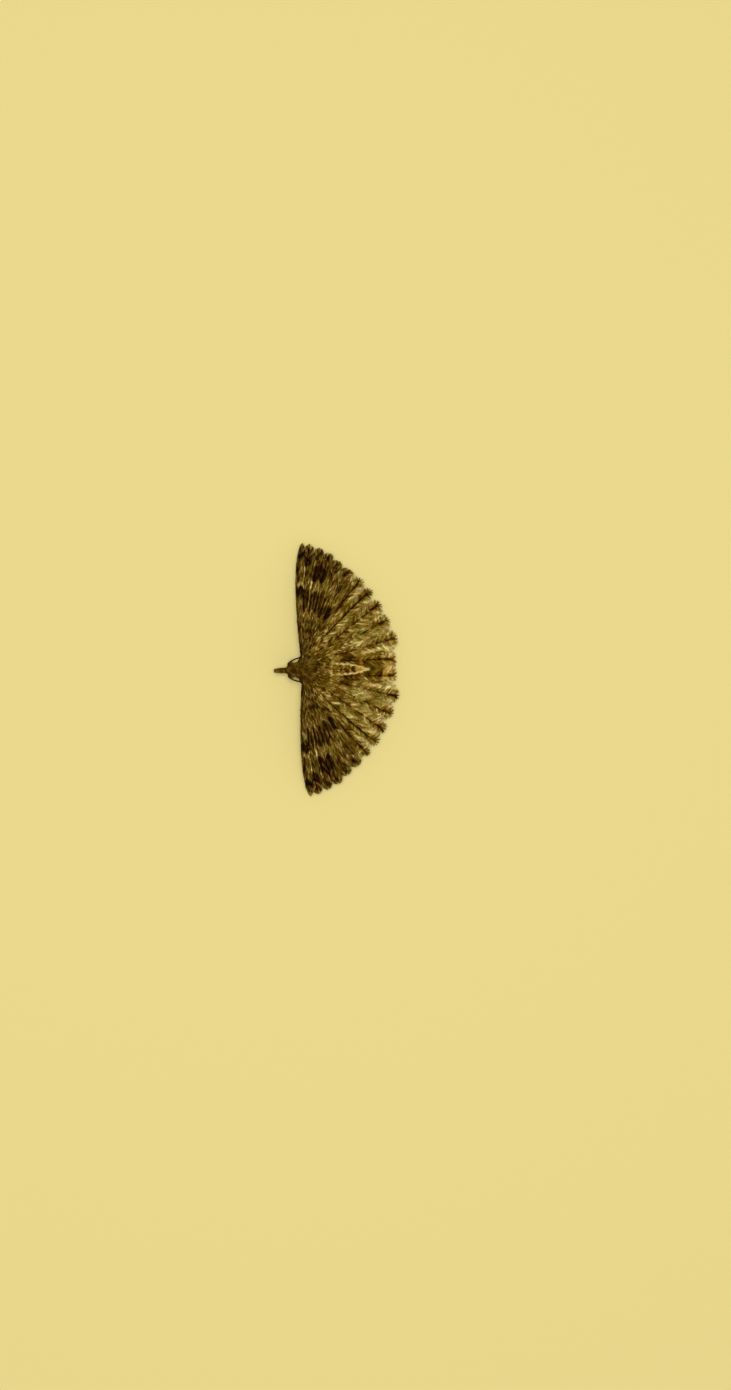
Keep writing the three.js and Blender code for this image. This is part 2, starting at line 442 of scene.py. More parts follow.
class PlumeFinish(Finish):
    """The wings: brown bands and spots, cream streaks and golden pale scales by the body, on an ochre ground;
    that golden hue is partly the scales' own and partly a painted sheen of the light.
    """

    fore_ground = 0.335
    hind_ground = 0.53

    def build(self) -> bpy.types.Material:
        """Builds the material."""
        self.sh = sh = Shader("plumes")
        self.fan, self.reach, self.shade, self.fleck, self.rim, self.edge = (
            sh.attribute(name) for name in ("fan", "reach", "shade", "fleck", "rim", "edge"))
        self.hind = sh.rise(self.fan, 6.0, 0.02)
        self.fore = 1 - self.hind
        marks = self.marks()
        tone = self.fore * self.fore_ground + self.hind * self.hind_ground + marks - self.shafts()
        tone = tone + self.fringes() + self.fleck * (self.hind * 0.06 + 0.26) + self.grain(marks)
        # golden hue on the pale scales of the last hind plume: partly their own colour, partly a painted
        # golden sheen of the light
        inner = sh.rise(self.fan, 11.0, 0.5) * sh.rise(tone, 0.50, 0.16)
        colour = sh.mix(inner * 0.18, sh.ramp(tone, SCALE_TONES), GOLD_AND_PAINTED_SHEEN)
        patches = sh.vector(self.fan * 1.7, self.reach * 1.3, 3.0)
        colour = sh.tinge(patches, colour, 0.11, self.hind * 0.05 + 1.0)
        return sh.finish(colour, 0.8, Specular_IOR_Level=0.03)

    def marks(self) -> Num:
        """All the marks, with ragged edges: the dark ones patchy, the pale ones broken into flecks."""
        sh = self.sh
        ragged = self.reach + (sh.noise(sh.place(), 4.5) - 0.5) * 0.32
        strayed = self.fan + (sh.noise(sh.place(), 3.5) - 0.5) * 0.5
        stripes = sh.rise(sh.math("COSINE", self.fan * (4 * np.pi)), -0.1, 0.7)
        patch = sh.noise(sh.place(), 2.2) * 0.9 + 0.55
        flecked = sh.noise(sh.vector(self.fan * 4.0, self.reach * 4.2, 9.0), 1.0)
        flecked = sh.rise(flecked, 0.50, 0.12) * 1.3 + 0.2
        marks: Any = 0.0
        for mark in MARKS:
            across = self.fan if mark.lines or mark.soft < 0.1 else strayed
            where = sh.window(across, *mark.plumes, mark.soft) * sh.window(ragged, *mark.reach, 0.06)
            if mark.lines:
                where = where * (stripes * mark.lines + (1 - mark.lines))
            marks = marks + where * mark.tone * (patch if mark.tone < 0 else flecked)
        return marks

    def shafts(self) -> Num:
        """How dark the plumes' ends are inside, and the shafts, which are broken into dashes behind."""
        sh, fore, hind, reach = self.sh, self.fore, self.hind, self.reach
        fore_end = sh.window(self.rim, 0.24, 0.52, 0.07) * (1 - sh.rise(self.edge, 0.30, 0.18)) * fore * 0.22
        uneven = sh.rise(sh.noise(sh.place(), 1.4), 0.50, 0.10) * 0.18 + 0.08
        hind_end = sh.window(self.rim, -0.25, 0.95, 0.15) * (1 - sh.rise(self.edge, 0.22, 0.16))
        hind_end = hind_end * hind * uneven
        dashes: Any = 1.0
        for low, high, soft in ((2.95, 3.45, 0.06), (4.0, 4.14, 0.05), (4.68, 4.80, 0.05)):
            dashes = dashes - sh.window(reach, low, high, soft)
        shaft = (1 - sh.rise(self.edge, 0.11, 0.06)) * sh.rise(reach, 1.5, 0.4)
        return fore_end + hind_end + shaft * (hind * dashes * 0.26 + fore * 0.10)

    def fringes(self) -> Num:
        """How pale the rims are: the forewing's ends, and the borders between the plumes."""
        sh = self.sh
        border = sh.rise(self.edge, 0.66, 0.28) * (sh.rise(self.reach, 4.4, 0.5) * self.hind * 0.24 + 0.06)
        return (1 - sh.rise(self.rim, 0.14, 0.10)) * self.fore * 0.18 + border

    def grain(self, marks: Num) -> Num:
        """The unevenness from blade to blade and along the plumes, calmer in the dark marks."""
        sh, fan, reach = self.sh, self.fan, self.reach
        outer = sh.rise(reach, 2.6, 0.9)
        narrow = sh.noise(sh.vector(fan * (self.fore * 2.8 + 4.2), reach * 2.5, 0.0), 1.0) - 0.5
        broad = sh.noise(sh.vector(fan * 1.9, reach * 3.2, 5.0), 1.0) - 0.5
        fine = sh.noise(sh.place(), 14.0) - 0.5
        grain = (self.shade - 0.5) * (self.hind * 0.28 + 0.28) + fine * 0.50
        grain = grain + narrow * outer * (self.fore * 0.30 + 1.15) + broad * (1 - outer) * 1.85
        return grain * sh.math("MAXIMUM", sh.math("MINIMUM", marks * 1.6 + 1, 1.0), 0.35)


def trunk_tone(sh: Shader) -> Num:
    """The markings of palps, head, thorax and abdomen, as a place among the scales' tones.

    The abdomen has a pale rim behind each segment, a broken cream line along each side and a pale tip.
    """
    along = sh.attribute("along")
    hind = sh.rise(along, 0.93, 0.35)
    segment = sh.math("PINGPONG", along - 0.64, 0.19)
    broken = sh.rise(sh.noise(sh.place(), 4.5, 1.0), 0.50, 0.10)
    rims = sh.rise(segment, 0.13, 0.03) * (broken * 0.34 + 0.02) - 0.10
    line = side_line(sh) * (broken * 0.26 + sh.rise(along, 2.5, 0.6) * 0.24 + 0.38)
    rear = sh.rise(along, 3.05, 0.25) * 0.40 - sh.window(along, 2.25, 2.90, 0.20) * 0.08
    palp = 1 - sh.rise(along, -0.98, 0.05)
    face = 1 - sh.rise(along, -0.45, 0.20)
    patches = (sh.noise(sh.place(), 2.6, 1.0) - 0.5) * (0.75 - side_line(sh) * 0.40)
    tip = 1 - sh.rise(along, -1.58, 0.05)
    return 0.20 + hind * (rims + line + rear + 0.20) + palp * 0.20 - tip * 0.14 - face * 0.05 + patches


def side_line(sh: Shader) -> Num:
    """1 along the cream lines at the abdomen's sides."""
    return sh.window(sh.attribute("side"), 0.72, 1.20, 0.06) * sh.window(sh.attribute("along"), 1.6, 4.2, 0.3)


def limb_tone(sh: Shader) -> Num:
    """The pale rings of legs and feelers, as a place among the scales' tones."""
    wave = sh.math("SINE", sh.attribute("along") * (2 * np.pi) * sh.attribute("ring"))
    leg = 1 - sh.rise(sh.attribute("ring"), 5.0, 1.0)
    return 0.10 + leg * 0.09 + sh.rise(wave, 0.35, 0.35) * (leg * 0.10 + 0.09)


class BodyScaleFinish(Finish):
    """Trunk, head and palps: umber scales, and an ochre abdomen with golden sides, whose golden hue is partly
    the scales' own and partly a painted sheen of the light.
    """

    def build(self) -> bpy.types.Material:
        """Builds the material."""
        sh = Shader("body_scales")
        along, shade, tip = (sh.attribute(name) for name in ("along", "shade", "tip"))
        hind = sh.rise(along, 0.93, 0.35)
        streak = sh.rise(shade, 0.92, 0.02) * (hind * 0.16 + 0.08)
        fine = sh.noise(sh.place(), 26.0) - 0.5
        tone = trunk_tone(sh) + (shade - 0.5) * (hind * 0.06 + 0.20) + streak + tip * 0.06 + fine * 0.20
        # the abdomen's pale scales turn golden: partly their own colour, partly a painted golden sheen of the
        # light
        gold_and_painted_sheen = sh.rise(along, 1.3, 0.8) * sh.rise(tone, 0.42, 0.15) * (0.40 - side_line(sh) * 0.25)
        colour = sh.mix(gold_and_painted_sheen, sh.ramp(tone, SCALE_TONES), GOLD_AND_PAINTED_SHEEN)
        return sh.finish(sh.tinge(sh.place((3, 3, 3)), colour, 0.08), 0.8, Specular_IOR_Level=0.04)


class LimbFinish(Finish):
    """Legs and feelers: brown, ringed with pale ochre at each joint."""

    def build(self) -> bpy.types.Material:
        """Builds the material."""
        sh = Shader("limb_scales")
        tone = limb_tone(sh) + (sh.attribute("shade") - 0.5) * 0.14 + sh.attribute("tip") * 0.06
        return sh.finish(sh.ramp(tone, SCALE_TONES), 0.7, Specular_IOR_Level=0.1)


class SkinFinish(Finish):
    """The skin under the scales: their own markings, a little darker, with a fine grain."""

    def build(self) -> bpy.types.Material:
        """Builds the material."""
        sh = Shader("skin")
        grain = sh.noise(sh.place(), 18.0, 3.0)
        limb = sh.rise(sh.attribute("ring"), 0.5, 0.1)
        tone = trunk_tone(sh) * (1 - limb) + limb_tone(sh) * limb + grain * 0.12 - 0.10
        return sh.finish(sh.ramp(tone, SCALE_TONES), 0.8, grain, 0.012, Specular_IOR_Level=0.1)


class EyeFinish(Finish):
    """Compound eye: finely faceted with a soft gloss; dark brown at its rim, and tan in the middle from a
    painted highlight.
    """

    def build(self) -> bpy.types.Material:
        """Builds the material."""
        sh = Shader("eye")
        facets = sh.node("TexVoronoi", {"feature": "DISTANCE_TO_EDGE"},
                         {"Vector": sh.place(), "Scale": 34.0}).outputs["Distance"]
        # painted highlight: tan where the eye faces along its look axis, up and outwards to the lights,
        # fading to dark brown towards the rim
        ring = sh.rise(sh.attribute("rim") + (sh.noise(sh.place(), 9.0) - 0.5) * 0.2, 0.62, 0.25)
        colour = sh.mix(ring, (0.25, 0.155, 0.042), (0.022, 0.011, 0.003))
        return sh.finish(colour, 0.5, facets, 0.005, Specular_IOR_Level=0.11)


class FloorFinish(Finish):
    """Plain pale floor in a warm cream."""

    def build(self) -> bpy.types.Material:
        """Builds the material."""
        sh = Shader("floor")
        return sh.finish((0.75, 0.705, 0.41), 0.9, Specular_IOR_Level=0.1)


# ---------------------------------------- blades


class Blade(Enum):
    """The outline of one bristle or scale: half-widths at its three sections, root to tip."""

    BRISTLE = ((0.0, 0.45, 0.80), (0.75, 1.0, 0.6))
    SCALE = ((0.0, 0.40, 0.85), (0.45, 1.0, 0.8))


RINGS = 3
BLADE_POINTS = 3 * RINGS + 1
TIP = BLADE_POINTS - 1
BLADE_TRIANGLES = np.array([
    [0, 1, 2], [TIP - 3, TIP, TIP - 2], [TIP - 2, TIP, TIP - 1], [TIP - 1, TIP, TIP - 3]])
BLADE_QUADS = np.array([
    [3 * k + a, 3 * (k + 1) + a, 3 * (k + 1) + b, 3 * k + b]
    for k in range(RINGS - 1) for a, b in ((0, 1), (1, 2), (2, 0))])
PATCH = 0.003           # size of one blade's place on its piece's baking map
RIDGE = 0.45            # height of a blade's ridge, as a share of its half-width
NO_BEND = np.zeros(3)


@dataclass(frozen=True)
class Kind:
    """One kind of scale, bristle or hair.

    Attributes:
        count: How many there are in one place.
        length: Their shortest and their longest.
        width: Their narrowest and their widest.
        lift: How steeply they leave the skin.
        stray: How far the way of each strays from that of the others.
        press: How far each tip is pressed back to the skin, as a share of its length.
        band: Where they start along the trunk, in Y.
        back: 1 if they point to the tail and -1 if they point forward.
        darkest: Their darkest shade, 0 to 1.
    """

    count: int
    length: tuple[float, float]
    width: tuple[float, float]
    lift: float = 0.0
    stray: float = 0.0
    press: float = 0.0
    band: tuple[float, float] = (0.0, 0.0)
    back: int = 1
    darkest: float = 0.0

    def lengths(self, rng: np.random.Generator, n: int) -> Array:
        """Draws n lengths."""
        return rng.uniform(*self.length, n)

    def widths(self, rng: np.random.Generator, n: int) -> Array:
        """Draws n widths."""
        return rng.uniform(*self.width, n)

    def strays(self, rng: np.random.Generator, n: int) -> Array:
        """Draws how far the ways of n scales stray."""
        return self.stray * rng.standard_normal((n, 3))


class Coat:
    """Gathers blades, closed three-sided slivers that taper to a point, into one mesh."""

    def __init__(self) -> None:
        """Starts with no blade."""
        self.points: list[Array] = []
        self.maps: list[Array] = []
        self.values: dict[str, list[Array]] = {}

    def add(self, shape: Blade, root: Array, direction: Array, normal: Array, length: Array, width: Array,
            bend: Array, atlas: Array, values: dict[str, Array],
            at_points: Callable[[Array, Array], dict[str, Array]] | None = None) -> None:
        """Adds blades.

        The middle of a blade at t of its length is root + direction*length*t + bend*t^2. Its
        section is a low triangle on the side away from the skin.

        Args:
            shape: The blades' outline.
            root: Where each starts.
            direction: Which way each points, of length 1.
            normal: The way each one's ridge faces.
            length: Lengths.
            width: Full widths at the widest.
            bend: How far each tip is carried aside, or one vector for them all.
            atlas: Each root's place on the baking map.
            values: One number for each blade under each name.
            at_points: Works out further numbers at each vertex from all points and t.
        """
        places, spans = shape.value
        n = len(root)
        bend = np.broadcast_to(bend, (n, 3))
        t = np.array([*places, 1.0])
        middle = (root[:, None] + direction[:, None] * (length[:, None] * t)[..., None]
                  + bend[:, None] * (t**2)[None, :, None])
        tangent = unit(direction[:, None] * length[:, None, None] + 2 * bend[:, None] * t[None, :, None])
        across = unit(np.cross(tangent, normal[:, None]))
        up = np.cross(across, tangent)
        half = 0.5 * width[:, None] * np.array(spans)
        points = np.empty((n, BLADE_POINTS, 3))
        rows = middle[:, :RINGS]
        points[:, 0:TIP:3] = rows - across[:, :RINGS] * half[..., None]
        points[:, 1:TIP:3] = rows + across[:, :RINGS] * half[..., None]
        points[:, 2:TIP:3] = rows + up[:, :RINGS] * (RIDGE * half)[..., None]
        points[:, TIP] = middle[:, RINGS]
        t_all = np.append(np.repeat(t[:RINGS], 3), 1.0)
        side = np.append(np.tile([-1.0, 1.0, 0.0], RINGS), 0.0)
        offset = 0.5 * PATCH * np.stack([2 * t_all - 1, side], 1)
        self.points.append(points)
        self.maps.append(atlas[:, None] + offset)
        numbers = {name: np.repeat(np.asarray(column, float)[:, None], BLADE_POINTS, 1)
                   for name, column in values.items()}
        numbers["tip"] = np.tile(t_all, (n, 1))
        if at_points:
            numbers.update(at_points(points, t_all))
        for name, rows_of in numbers.items():
            self.values.setdefault(name, []).append(rows_of)

    def build(self, name: str, finish: Finish) -> bpy.types.Object:
        """Makes one mesh of all the blades, with its baking map and its numbers."""
        points = np.concatenate(self.points)
        first = (np.arange(len(points)) * BLADE_POINTS)[:, None, None]
        triangles = (first + BLADE_TRIANGLES).reshape(-1, 3)
        quads = (first + BLADE_QUADS).reshape(-1, 4)
        piece = new_piece(name, points.reshape(-1, 3), [triangles, quads], finish)
        add_attributes(piece, {key: np.concatenate(rows) for key, rows in self.values.items()})
        maps = np.concatenate(self.maps).reshape(-1, 2)
        corners = np.concatenate([triangles.ravel(), quads.ravel()])
        layer = piece.data.uv_layers.new(name="OFBake")
        layer.data.foreach_set("uv", maps[corners].astype(np.float32).ravel())
        return piece


# ---------------------------------------- closed tubes


def closed_tube(centre: Array, across: Array, lift: Array, wide: Array, high: Array,
                sides: int) -> tuple[Array, list[Array]]:
    """A tube of oval sections along a line, closed by a fan of triangles at each end.

    A point at angle a of a section is centre + across*wide*cos(a) + lift*high*sin(a).

    Args:
        centre: The sections' middles.
        across: Unit vectors to the side.
        lift: Unit vectors upwards.
        wide: Half-widths.
        high: Half-heights.
        sides: The number of points round a section.

    Returns:
        The vertices, and the faces as arrays of quads and triangles.
    """
    angle = np.linspace(0, 2 * np.pi, sides, endpoint=False)
    ring = (centre[:, None] + across[:, None] * (wide[:, None] * np.cos(angle))[..., None]
            + lift[:, None] * (high[:, None] * np.sin(angle))[..., None])
    rows = len(centre)
    points = np.concatenate([ring.reshape(-1, 3), centre[[0, -1]]])
    j = np.arange(sides)
    k = (j + 1) % sides
    first = (np.arange(rows - 1) * sides)[:, None]
    quads = np.stack([first + j, first + k, first + sides + k, first + sides + j], -1).reshape(-1, 4)
    start, end = rows * sides, rows * sides + 1
    last = (rows - 1) * sides
    caps = np.concatenate([np.stack([np.full(sides, start), k, j], 1),
                           np.stack([np.full(sides, end), last + j, last + k], 1)])
    turned = np.einsum("ij,ij->i", np.cross(across, lift), np.gradient(centre, axis=0)).mean() < 0
    return points, [quads[:, ::-1] if turned else quads, caps[:, ::-1] if turned else caps]


def join_tubes(tubes: Sequence[tuple[Array, list[Array]]]) -> tuple[Array, list[Array]]:
    """Joins closed tubes into one list of vertices, and one of quads and one of triangles."""
    first = np.cumsum([0, *(len(points) for points, _ in tubes)])
    faces = [[group + start for group in groups] for (_, groups), start in zip(tubes, first)]
    return np.concatenate([points for points, _ in tubes]), [np.concatenate(kind) for kind in zip(*faces)]


@dataclass(frozen=True)
class Limb:
    """A round limb along a bent line.

    Attributes:
        line: Points of its middle on the left side.
        radius: Its radius at each of those points.
        ring: Pale rings to a millimetre.
    """

    line: tuple[tuple[float, float, float], ...]
    radius: tuple[float, ...]
    ring: float = 0.0

    def read(self, t: Array, side: Side) -> tuple[Array, Array, Array, Array, Array]:
        """Reads the limb at t from 0 to 1: middle, tangent, across, lift and radius."""
        line = np.array(self.line) * [side.value, 1, 1]
        centre = spline(line, t)
        step = 1e-3
        tangent = unit(spline(line, np.minimum(t + step, 1)) - spline(line, np.maximum(t - step, 0)))
        across = unit(np.cross(tangent, [0.0, 0.0, 1.0]))
        radius = spline(np.array(self.radius)[:, None], t)[:, 0]
        return centre, tangent, across, np.cross(across, tangent), radius

    def around(self, t: Array, angle: Array, side: Side) -> tuple[Array, Array, Array, Array]:
        """Reads middle, tangent, unit vector outwards and radius at t and an angle round the limb."""
        centre, tangent, across, lift, radius = self.read(t, side)
        return centre, tangent, across * np.cos(angle)[:, None] + lift * np.sin(angle)[:, None], radius

    def length(self) -> float:
        """The length of its middle line."""
        line = spline(self.line, np.linspace(0, 1, 200))
        return float(np.linalg.norm(np.diff(line, axis=0), axis=1).sum())

    def tube(self, side: Side, rows: int = 90, sides: int = 12) -> tuple[Array, list[Array]]:
        """The limb as a closed tube with rounded ends."""
        t = 0.5 - 0.5 * np.cos(np.linspace(0.03, np.pi - 0.03, rows))
        centre, _, across, lift, radius = self.read(t, side)
        reach = np.minimum(t, 1 - t) * self.length() / radius
        radius = radius * np.sqrt(np.clip(1 - (1 - np.minimum(reach, 1)) ** 2, 0.02, 1))
        return closed_tube(centre, across, lift, radius, radius, sides)


# ---------------------------------------- body


@dataclass(frozen=True)
class Trunk:
    """Head, thorax and abdomen as one form, given at stations from the face to the tail.

    Attributes:
        stations: Y, the middle's Z, the half-width and the half-height of the skin.
        suture: Length of one segment of the abdomen.
        waist: Where the abdomen starts, along Y.
        lean: How far to the left the abdomen's middle lies, as a share of the way behind the waist.
    """

    stations: tuple[tuple[float, float, float, float], ...] = (
        (-0.94, 0.92, 0.09, 0.08), (-0.90, 0.93, 0.18, 0.17), (-0.80, 0.955, 0.260, 0.275),
        (-0.68, 0.98, 0.325, 0.310), (-0.56, 0.995, 0.365, 0.315), (-0.46, 1.00, 0.385, 0.32),
        (-0.36, 1.00, 0.415, 0.355), (-0.20, 0.99, 0.490, 0.425), (0.00, 0.975, 0.545, 0.485),
        (0.22, 0.955, 0.55, 0.50), (0.44, 0.935, 0.49, 0.465), (0.62, 0.915, 0.40, 0.41),
        (0.80, 0.905, 0.365, 0.385), (1.20, 0.88, 0.365, 0.37), (1.65, 0.85, 0.365, 0.35),
        (2.10, 0.82, 0.350, 0.33), (2.55, 0.795, 0.31, 0.295), (2.95, 0.77, 0.25, 0.25),
        (3.30, 0.75, 0.18, 0.19), (3.55, 0.735, 0.115, 0.13), (3.72, 0.725, 0.07, 0.08),
        (3.80, 0.72, 0.03, 0.04),
    )
    suture: float = 0.38
    waist: float = 0.64
    lean: float = 0.04

    def read(self, t: Array) -> tuple[Array, Array, Array]:
        """Reads the middle line, the half-width and the half-height at t from 0 to 1."""
        y, z, wide, high = spline(self.stations, t).T
        fold = np.abs(((y - self.waist) / self.suture) % 1 - 0.5) * 2
        groove = 1 - 0.06 * smooth_rise(fold, 0.7, 1.0) * (y > self.waist)
        return np.stack([self.middle_x(y), y, z], -1), wide * groove, high * groove

    def middle_x(self, y: Array) -> Array:
        """The middle line's X."""
        return self.lean * np.maximum(0, y - self.waist)

    def surface(self, t: Array, angle: Array) -> tuple[Array, Array, Array]:
        """The skin at t along and an angle round, with the unit tangent towards the tail and the normal."""
        def point(at: Array, turn: Array) -> Array:
            """A point of the skin."""
            centre, wide, high = self.read(at)
            return centre + np.stack([wide * np.cos(turn), np.zeros_like(at), high * np.sin(turn)], -1)

        step = 2e-3
        here = point(t, angle)
        tangent = unit(point(np.minimum(t + step, 1), angle) - point(np.maximum(t - step, 0), angle))
        round_ = unit(point(t, angle + step) - point(t, angle - step))
        return here, tangent, unit(np.cross(round_, tangent) * -1)

    def tube(self, rows: int = 160, sides: int = 40) -> tuple[Array, list[Array]]:
        """The trunk as a closed tube."""
        centre, wide, high = self.read(np.linspace(0, 1, rows))
        across, lift = (np.tile(way, (rows, 1)) for way in ([1.0, 0.0, 0.0], [0.0, 0.0, 1.0]))
        return closed_tube(centre, across, lift, wide, high, sides)


PALP = Limb(((0.10, -0.74, 0.74), (0.086, -0.95, 0.76), (0.077, -1.22, 0.81), (0.067, -1.42, 0.86),
             (0.056, -1.61, 0.92)), (0.084, 0.080, 0.073, 0.064, 0.048))
FEELER = Limb(((0.12, -0.70, 1.12), (0.24, -0.725, 1.18), (0.37, -0.725, 1.18), (0.475, -0.675, 1.15),
               (0.555, -0.57, 1.11), (0.665, -0.31, 1.03), (0.76, -0.08, 0.90), (1.22, 0.17, 0.74),
               (2.20, 0.23, 0.67), (3.40, 0.24, 0.53), (4.45, 0.22, 0.38)),
              (0.062, 0.060, 0.054, 0.050, 0.048, 0.046, 0.042, 0.036, 0.029, 0.022, 0.014), 9.0)
LEGS = {
    "front": Limb(((0.24, -0.24, 0.50), (0.52, -0.12, 0.40), (0.86, 0.03, 0.36), (1.16, 0.24, 0.20),
                   (1.44, 0.45, 0.06), (1.72, 0.66, 0.035), (1.98, 0.85, 0.03)),
                  (0.10, 0.095, 0.07, 0.06, 0.038, 0.03, 0.018), 2.6),
    "middle": Limb(((0.26, 0.28, 0.50), (0.66, 0.56, 0.48), (1.08, 0.90, 0.52), (1.46, 1.22, 0.28),
                    (1.84, 1.55, 0.07), (2.18, 1.84, 0.035), (2.47, 2.09, 0.03)),
                   (0.11, 0.10, 0.07, 0.06, 0.04, 0.03, 0.018), 2.4),
    "hind": Limb(((0.24, 0.62, 0.50), (0.46, 1.20, 0.44), (0.74, 1.86, 0.54), (0.96, 2.45, 0.30),
                  (1.16, 3.02, 0.08), (1.32, 3.56, 0.035), (1.45, 4.06, 0.03)),
                 (0.11, 0.10, 0.07, 0.06, 0.042, 0.03, 0.018), 2.0),
}


# the body's scales and hairs; a leg's scales are the longer and wider, the thicker the leg is there
CLOSE = Kind(7400, (0.13, 0.21), (0.046, 0.066), stray=0.11, press=0.10)
SHOULDER = Kind(560, (0.20, 0.66), (0.03, 0.05), press=0.16, band=(-0.10, 0.60))
FRINGE = Kind(300, (0.22, 0.36), (0.03, 0.045), 0.14, 0.08, 0.10, (1.50, 3.75), darkest=0.4)
COLLAR = Kind(700, (0.1575, 0.2415), (0.035, 0.055), 0.30, 0.09, 0.24, (-0.56, -0.34))
BROW = Kind(260, (0.10875, 0.16675), (0.035, 0.055), 0.22, 0.09, 0.176, (-0.88, -0.70), -1)
TAIL = Kind(400, (0.1875, 0.2875), (0.035, 0.055), 0.02, 0.09, 0.016, (3.10, 3.78))
EYE_RIM = Kind(260, (0.07, 0.11), (0.03, 0.04), stray=0.08)
PALP_SCALE = Kind(700, (0.10, 0.15), (0.026, 0.04), stray=0.05)
LEG_SCALE = Kind(900, (0.08, 0.13), (0.014, 0.0415), 0.16, 0.08)
HAIR = Kind(640, (0.022, 0.034), (0.012, 0.012), 0.35, 0.08)


class Body:
    """The moth but for its wings: one skin, its coat and the eyes.

    Attributes:
        voxel: The fineness of the melted skin.
        seed: The seed of the coat's random numbers.
        limb_reach: How near a limb's middle line skin counts as the limb's.
        eye_radius, eye_rim: Radius of an eye, and of the ring of scales round it.
        fewer: How many scales fewer the right fringe has than the left one.
        floor_gap: How far the legs' scales stay above the floor.
    """

    voxel = 0.02
    seed = 11
    limb_reach = 0.12
    eye_radius = 0.182
    eye_rim = 0.162
    fewer = 70
    floor_gap = 0.012

    def __init__(self, trunk: Trunk) -> None:
        """Takes the trunk's form."""
        self.trunk = trunk
        self.rng = np.random.default_rng(self.seed)

    def limbs(self) -> list[tuple[Limb, Side]]:
        """Every palp, feeler and leg, on both sides."""
        return [(limb, side) for side in Side for limb in (PALP, FEELER, *LEGS.values())]

    def skin(self) -> bpy.types.Object:
        """Melts the trunk and the limbs into one skin.

        The closed tubes are joined at a scale of one unit to the millimetre, where the Remesh
        modifier can work finely enough, smoothed, and then brought to size.

        Returns:
            The skin.
        """
        points, faces = join_tubes([self.trunk.tube(), *(limb.tube(side) for limb, side in self.limbs())])
        raw = new_piece("moth_skin", points / MM + ORIGIN * (1 - 1 / MM), faces, SkinFinish())
        remesh = raw.modifiers.new("melt", "REMESH")
        remesh.mode = "VOXEL"
        remesh.voxel_size = self.voxel
        smooth = raw.modifiers.new("soften", "SMOOTH")
        smooth.factor = 0.5
        smooth.iterations = 3
        graph = bpy.context.evaluated_depsgraph_get()
        mesh = bpy.data.meshes.new_from_object(raw.evaluated_get(graph))
        raw.modifiers.clear()
        raw.data = mesh
        mesh.transform(Matrix.Scale(MM, 4))
        mesh.polygons.foreach_set("use_smooth", np.ones(len(mesh.polygons), bool))
        self.number_skin(raw)
        place_in_frame(raw, "body_scales", "head", "thorax", "abdomen", *(
            f"{part}_{side.word}" for side in Side
            for part in ("palp", "antenna", "leg_front", "leg_middle", "leg_hind")))
        return raw

    def number_skin(self, skin: bpy.types.Object) -> None:
        """Stores on the skin what its finish reads.

        On the trunk that is the place along Y and how far aside it lies, as a share of the
        half-width there; on a limb it is the length from its root and the number of its rings.
        """
        here = np.empty(len(skin.data.vertices) * 3, np.float32)
        skin.data.vertices.foreach_get("co", here)
        here = here.reshape(-1, 3) / MM + ORIGIN
        nearest = np.full(len(here), self.limb_reach)
        along, ring = here[:, 1].copy(), np.zeros(len(here))
        for limb, side in self.limbs():
            t = np.linspace(0, 1, 60)
            centre, *_ = limb.read(t, side)
            margin = 2 * self.limb_reach
            near = np.all((here > centre.min(0) - margin) & (here < centre.max(0) + margin), axis=1)
            gap = np.linalg.norm(here[near, None] - centre[None], axis=-1)
            closest = gap.argmin(1)
            better = gap.min(1) < nearest[near]
            rows = np.flatnonzero(near)[better]
            nearest[rows] = gap.min(1)[better]
            if limb.ring:
                along[rows] = t[closest[better]] * limb.length()
                ring[rows] = limb.ring
        stations = np.array(self.trunk.stations)
        aside = np.abs(here[:, 0] - self.trunk.middle_x(here[:, 1]))
        side = aside / np.interp(here[:, 1], stations[:, 0], stations[:, 2])
        add_attributes(skin, {"along": along, "ring": ring, "side": side})

    def eye_place(self, side: Side) -> tuple[Array, Array]:
        """An eye's middle, and the unit vector along which it looks."""
        low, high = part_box(f"eye_{side.word}")
        # the look axis is also where the eye's painted highlight sits
        look = unit(np.array([0.80 * side.value, 0.10, 0.60]))
        return (np.array(low) + np.array(high)) / 2 / MM + ORIGIN, look

    def eyes(self, rows: int = 28, sides: int = 40) -> None:
        """Makes both eyes: spheres of round sections, stacked from below."""
        first, second, upward = np.tile(np.eye(3)[:, None], (1, rows, 1))
        for side in Side:
            centre, look = self.eye_place(side)
            polar = np.linspace(0.06, np.pi - 0.06, rows)
            line = centre - upward * (self.eye_radius * np.cos(polar))[:, None]
            wide = self.eye_radius * np.sin(polar)
            points, faces = closed_tube(line, first, second, wide, wide, sides)
            eye = new_piece(f"eye_ball_{side.word}", points, faces, EyeFinish())
            # the angle from the look axis, which places the eye's painted highlight in the middle and its
            # dark rim
            add_attributes(eye, {"rim": np.arccos(np.clip(unit(points - centre) @ look, -1, 1))})
            place_in_frame(eye, "eye", f"eye_{side.word}")

    def scatter(self, count: int) -> tuple[Array, Array]:
        """Spreads places evenly at random over the trunk, as t and the angle round it."""
        t = np.linspace(0.01, 0.985, 400)
        _, wide, high = self.trunk.read(t)
        y = spline(self.trunk.stations, t)[:, 0]
        area = np.cumsum((wide + high) * np.maximum(np.gradient(y), 1e-4))
        chosen = np.interp(spread(self.rng, count), area / area[-1], t)
        return chosen, 2 * np.pi * self.rng.random(count)

    def at_y(self, y: Array) -> Array:
        """Finds t on the trunk at given places along Y."""
        stations = np.array(self.trunk.stations)
        return np.interp(y, stations[:, 0], np.linspace(0, 1, len(stations)))

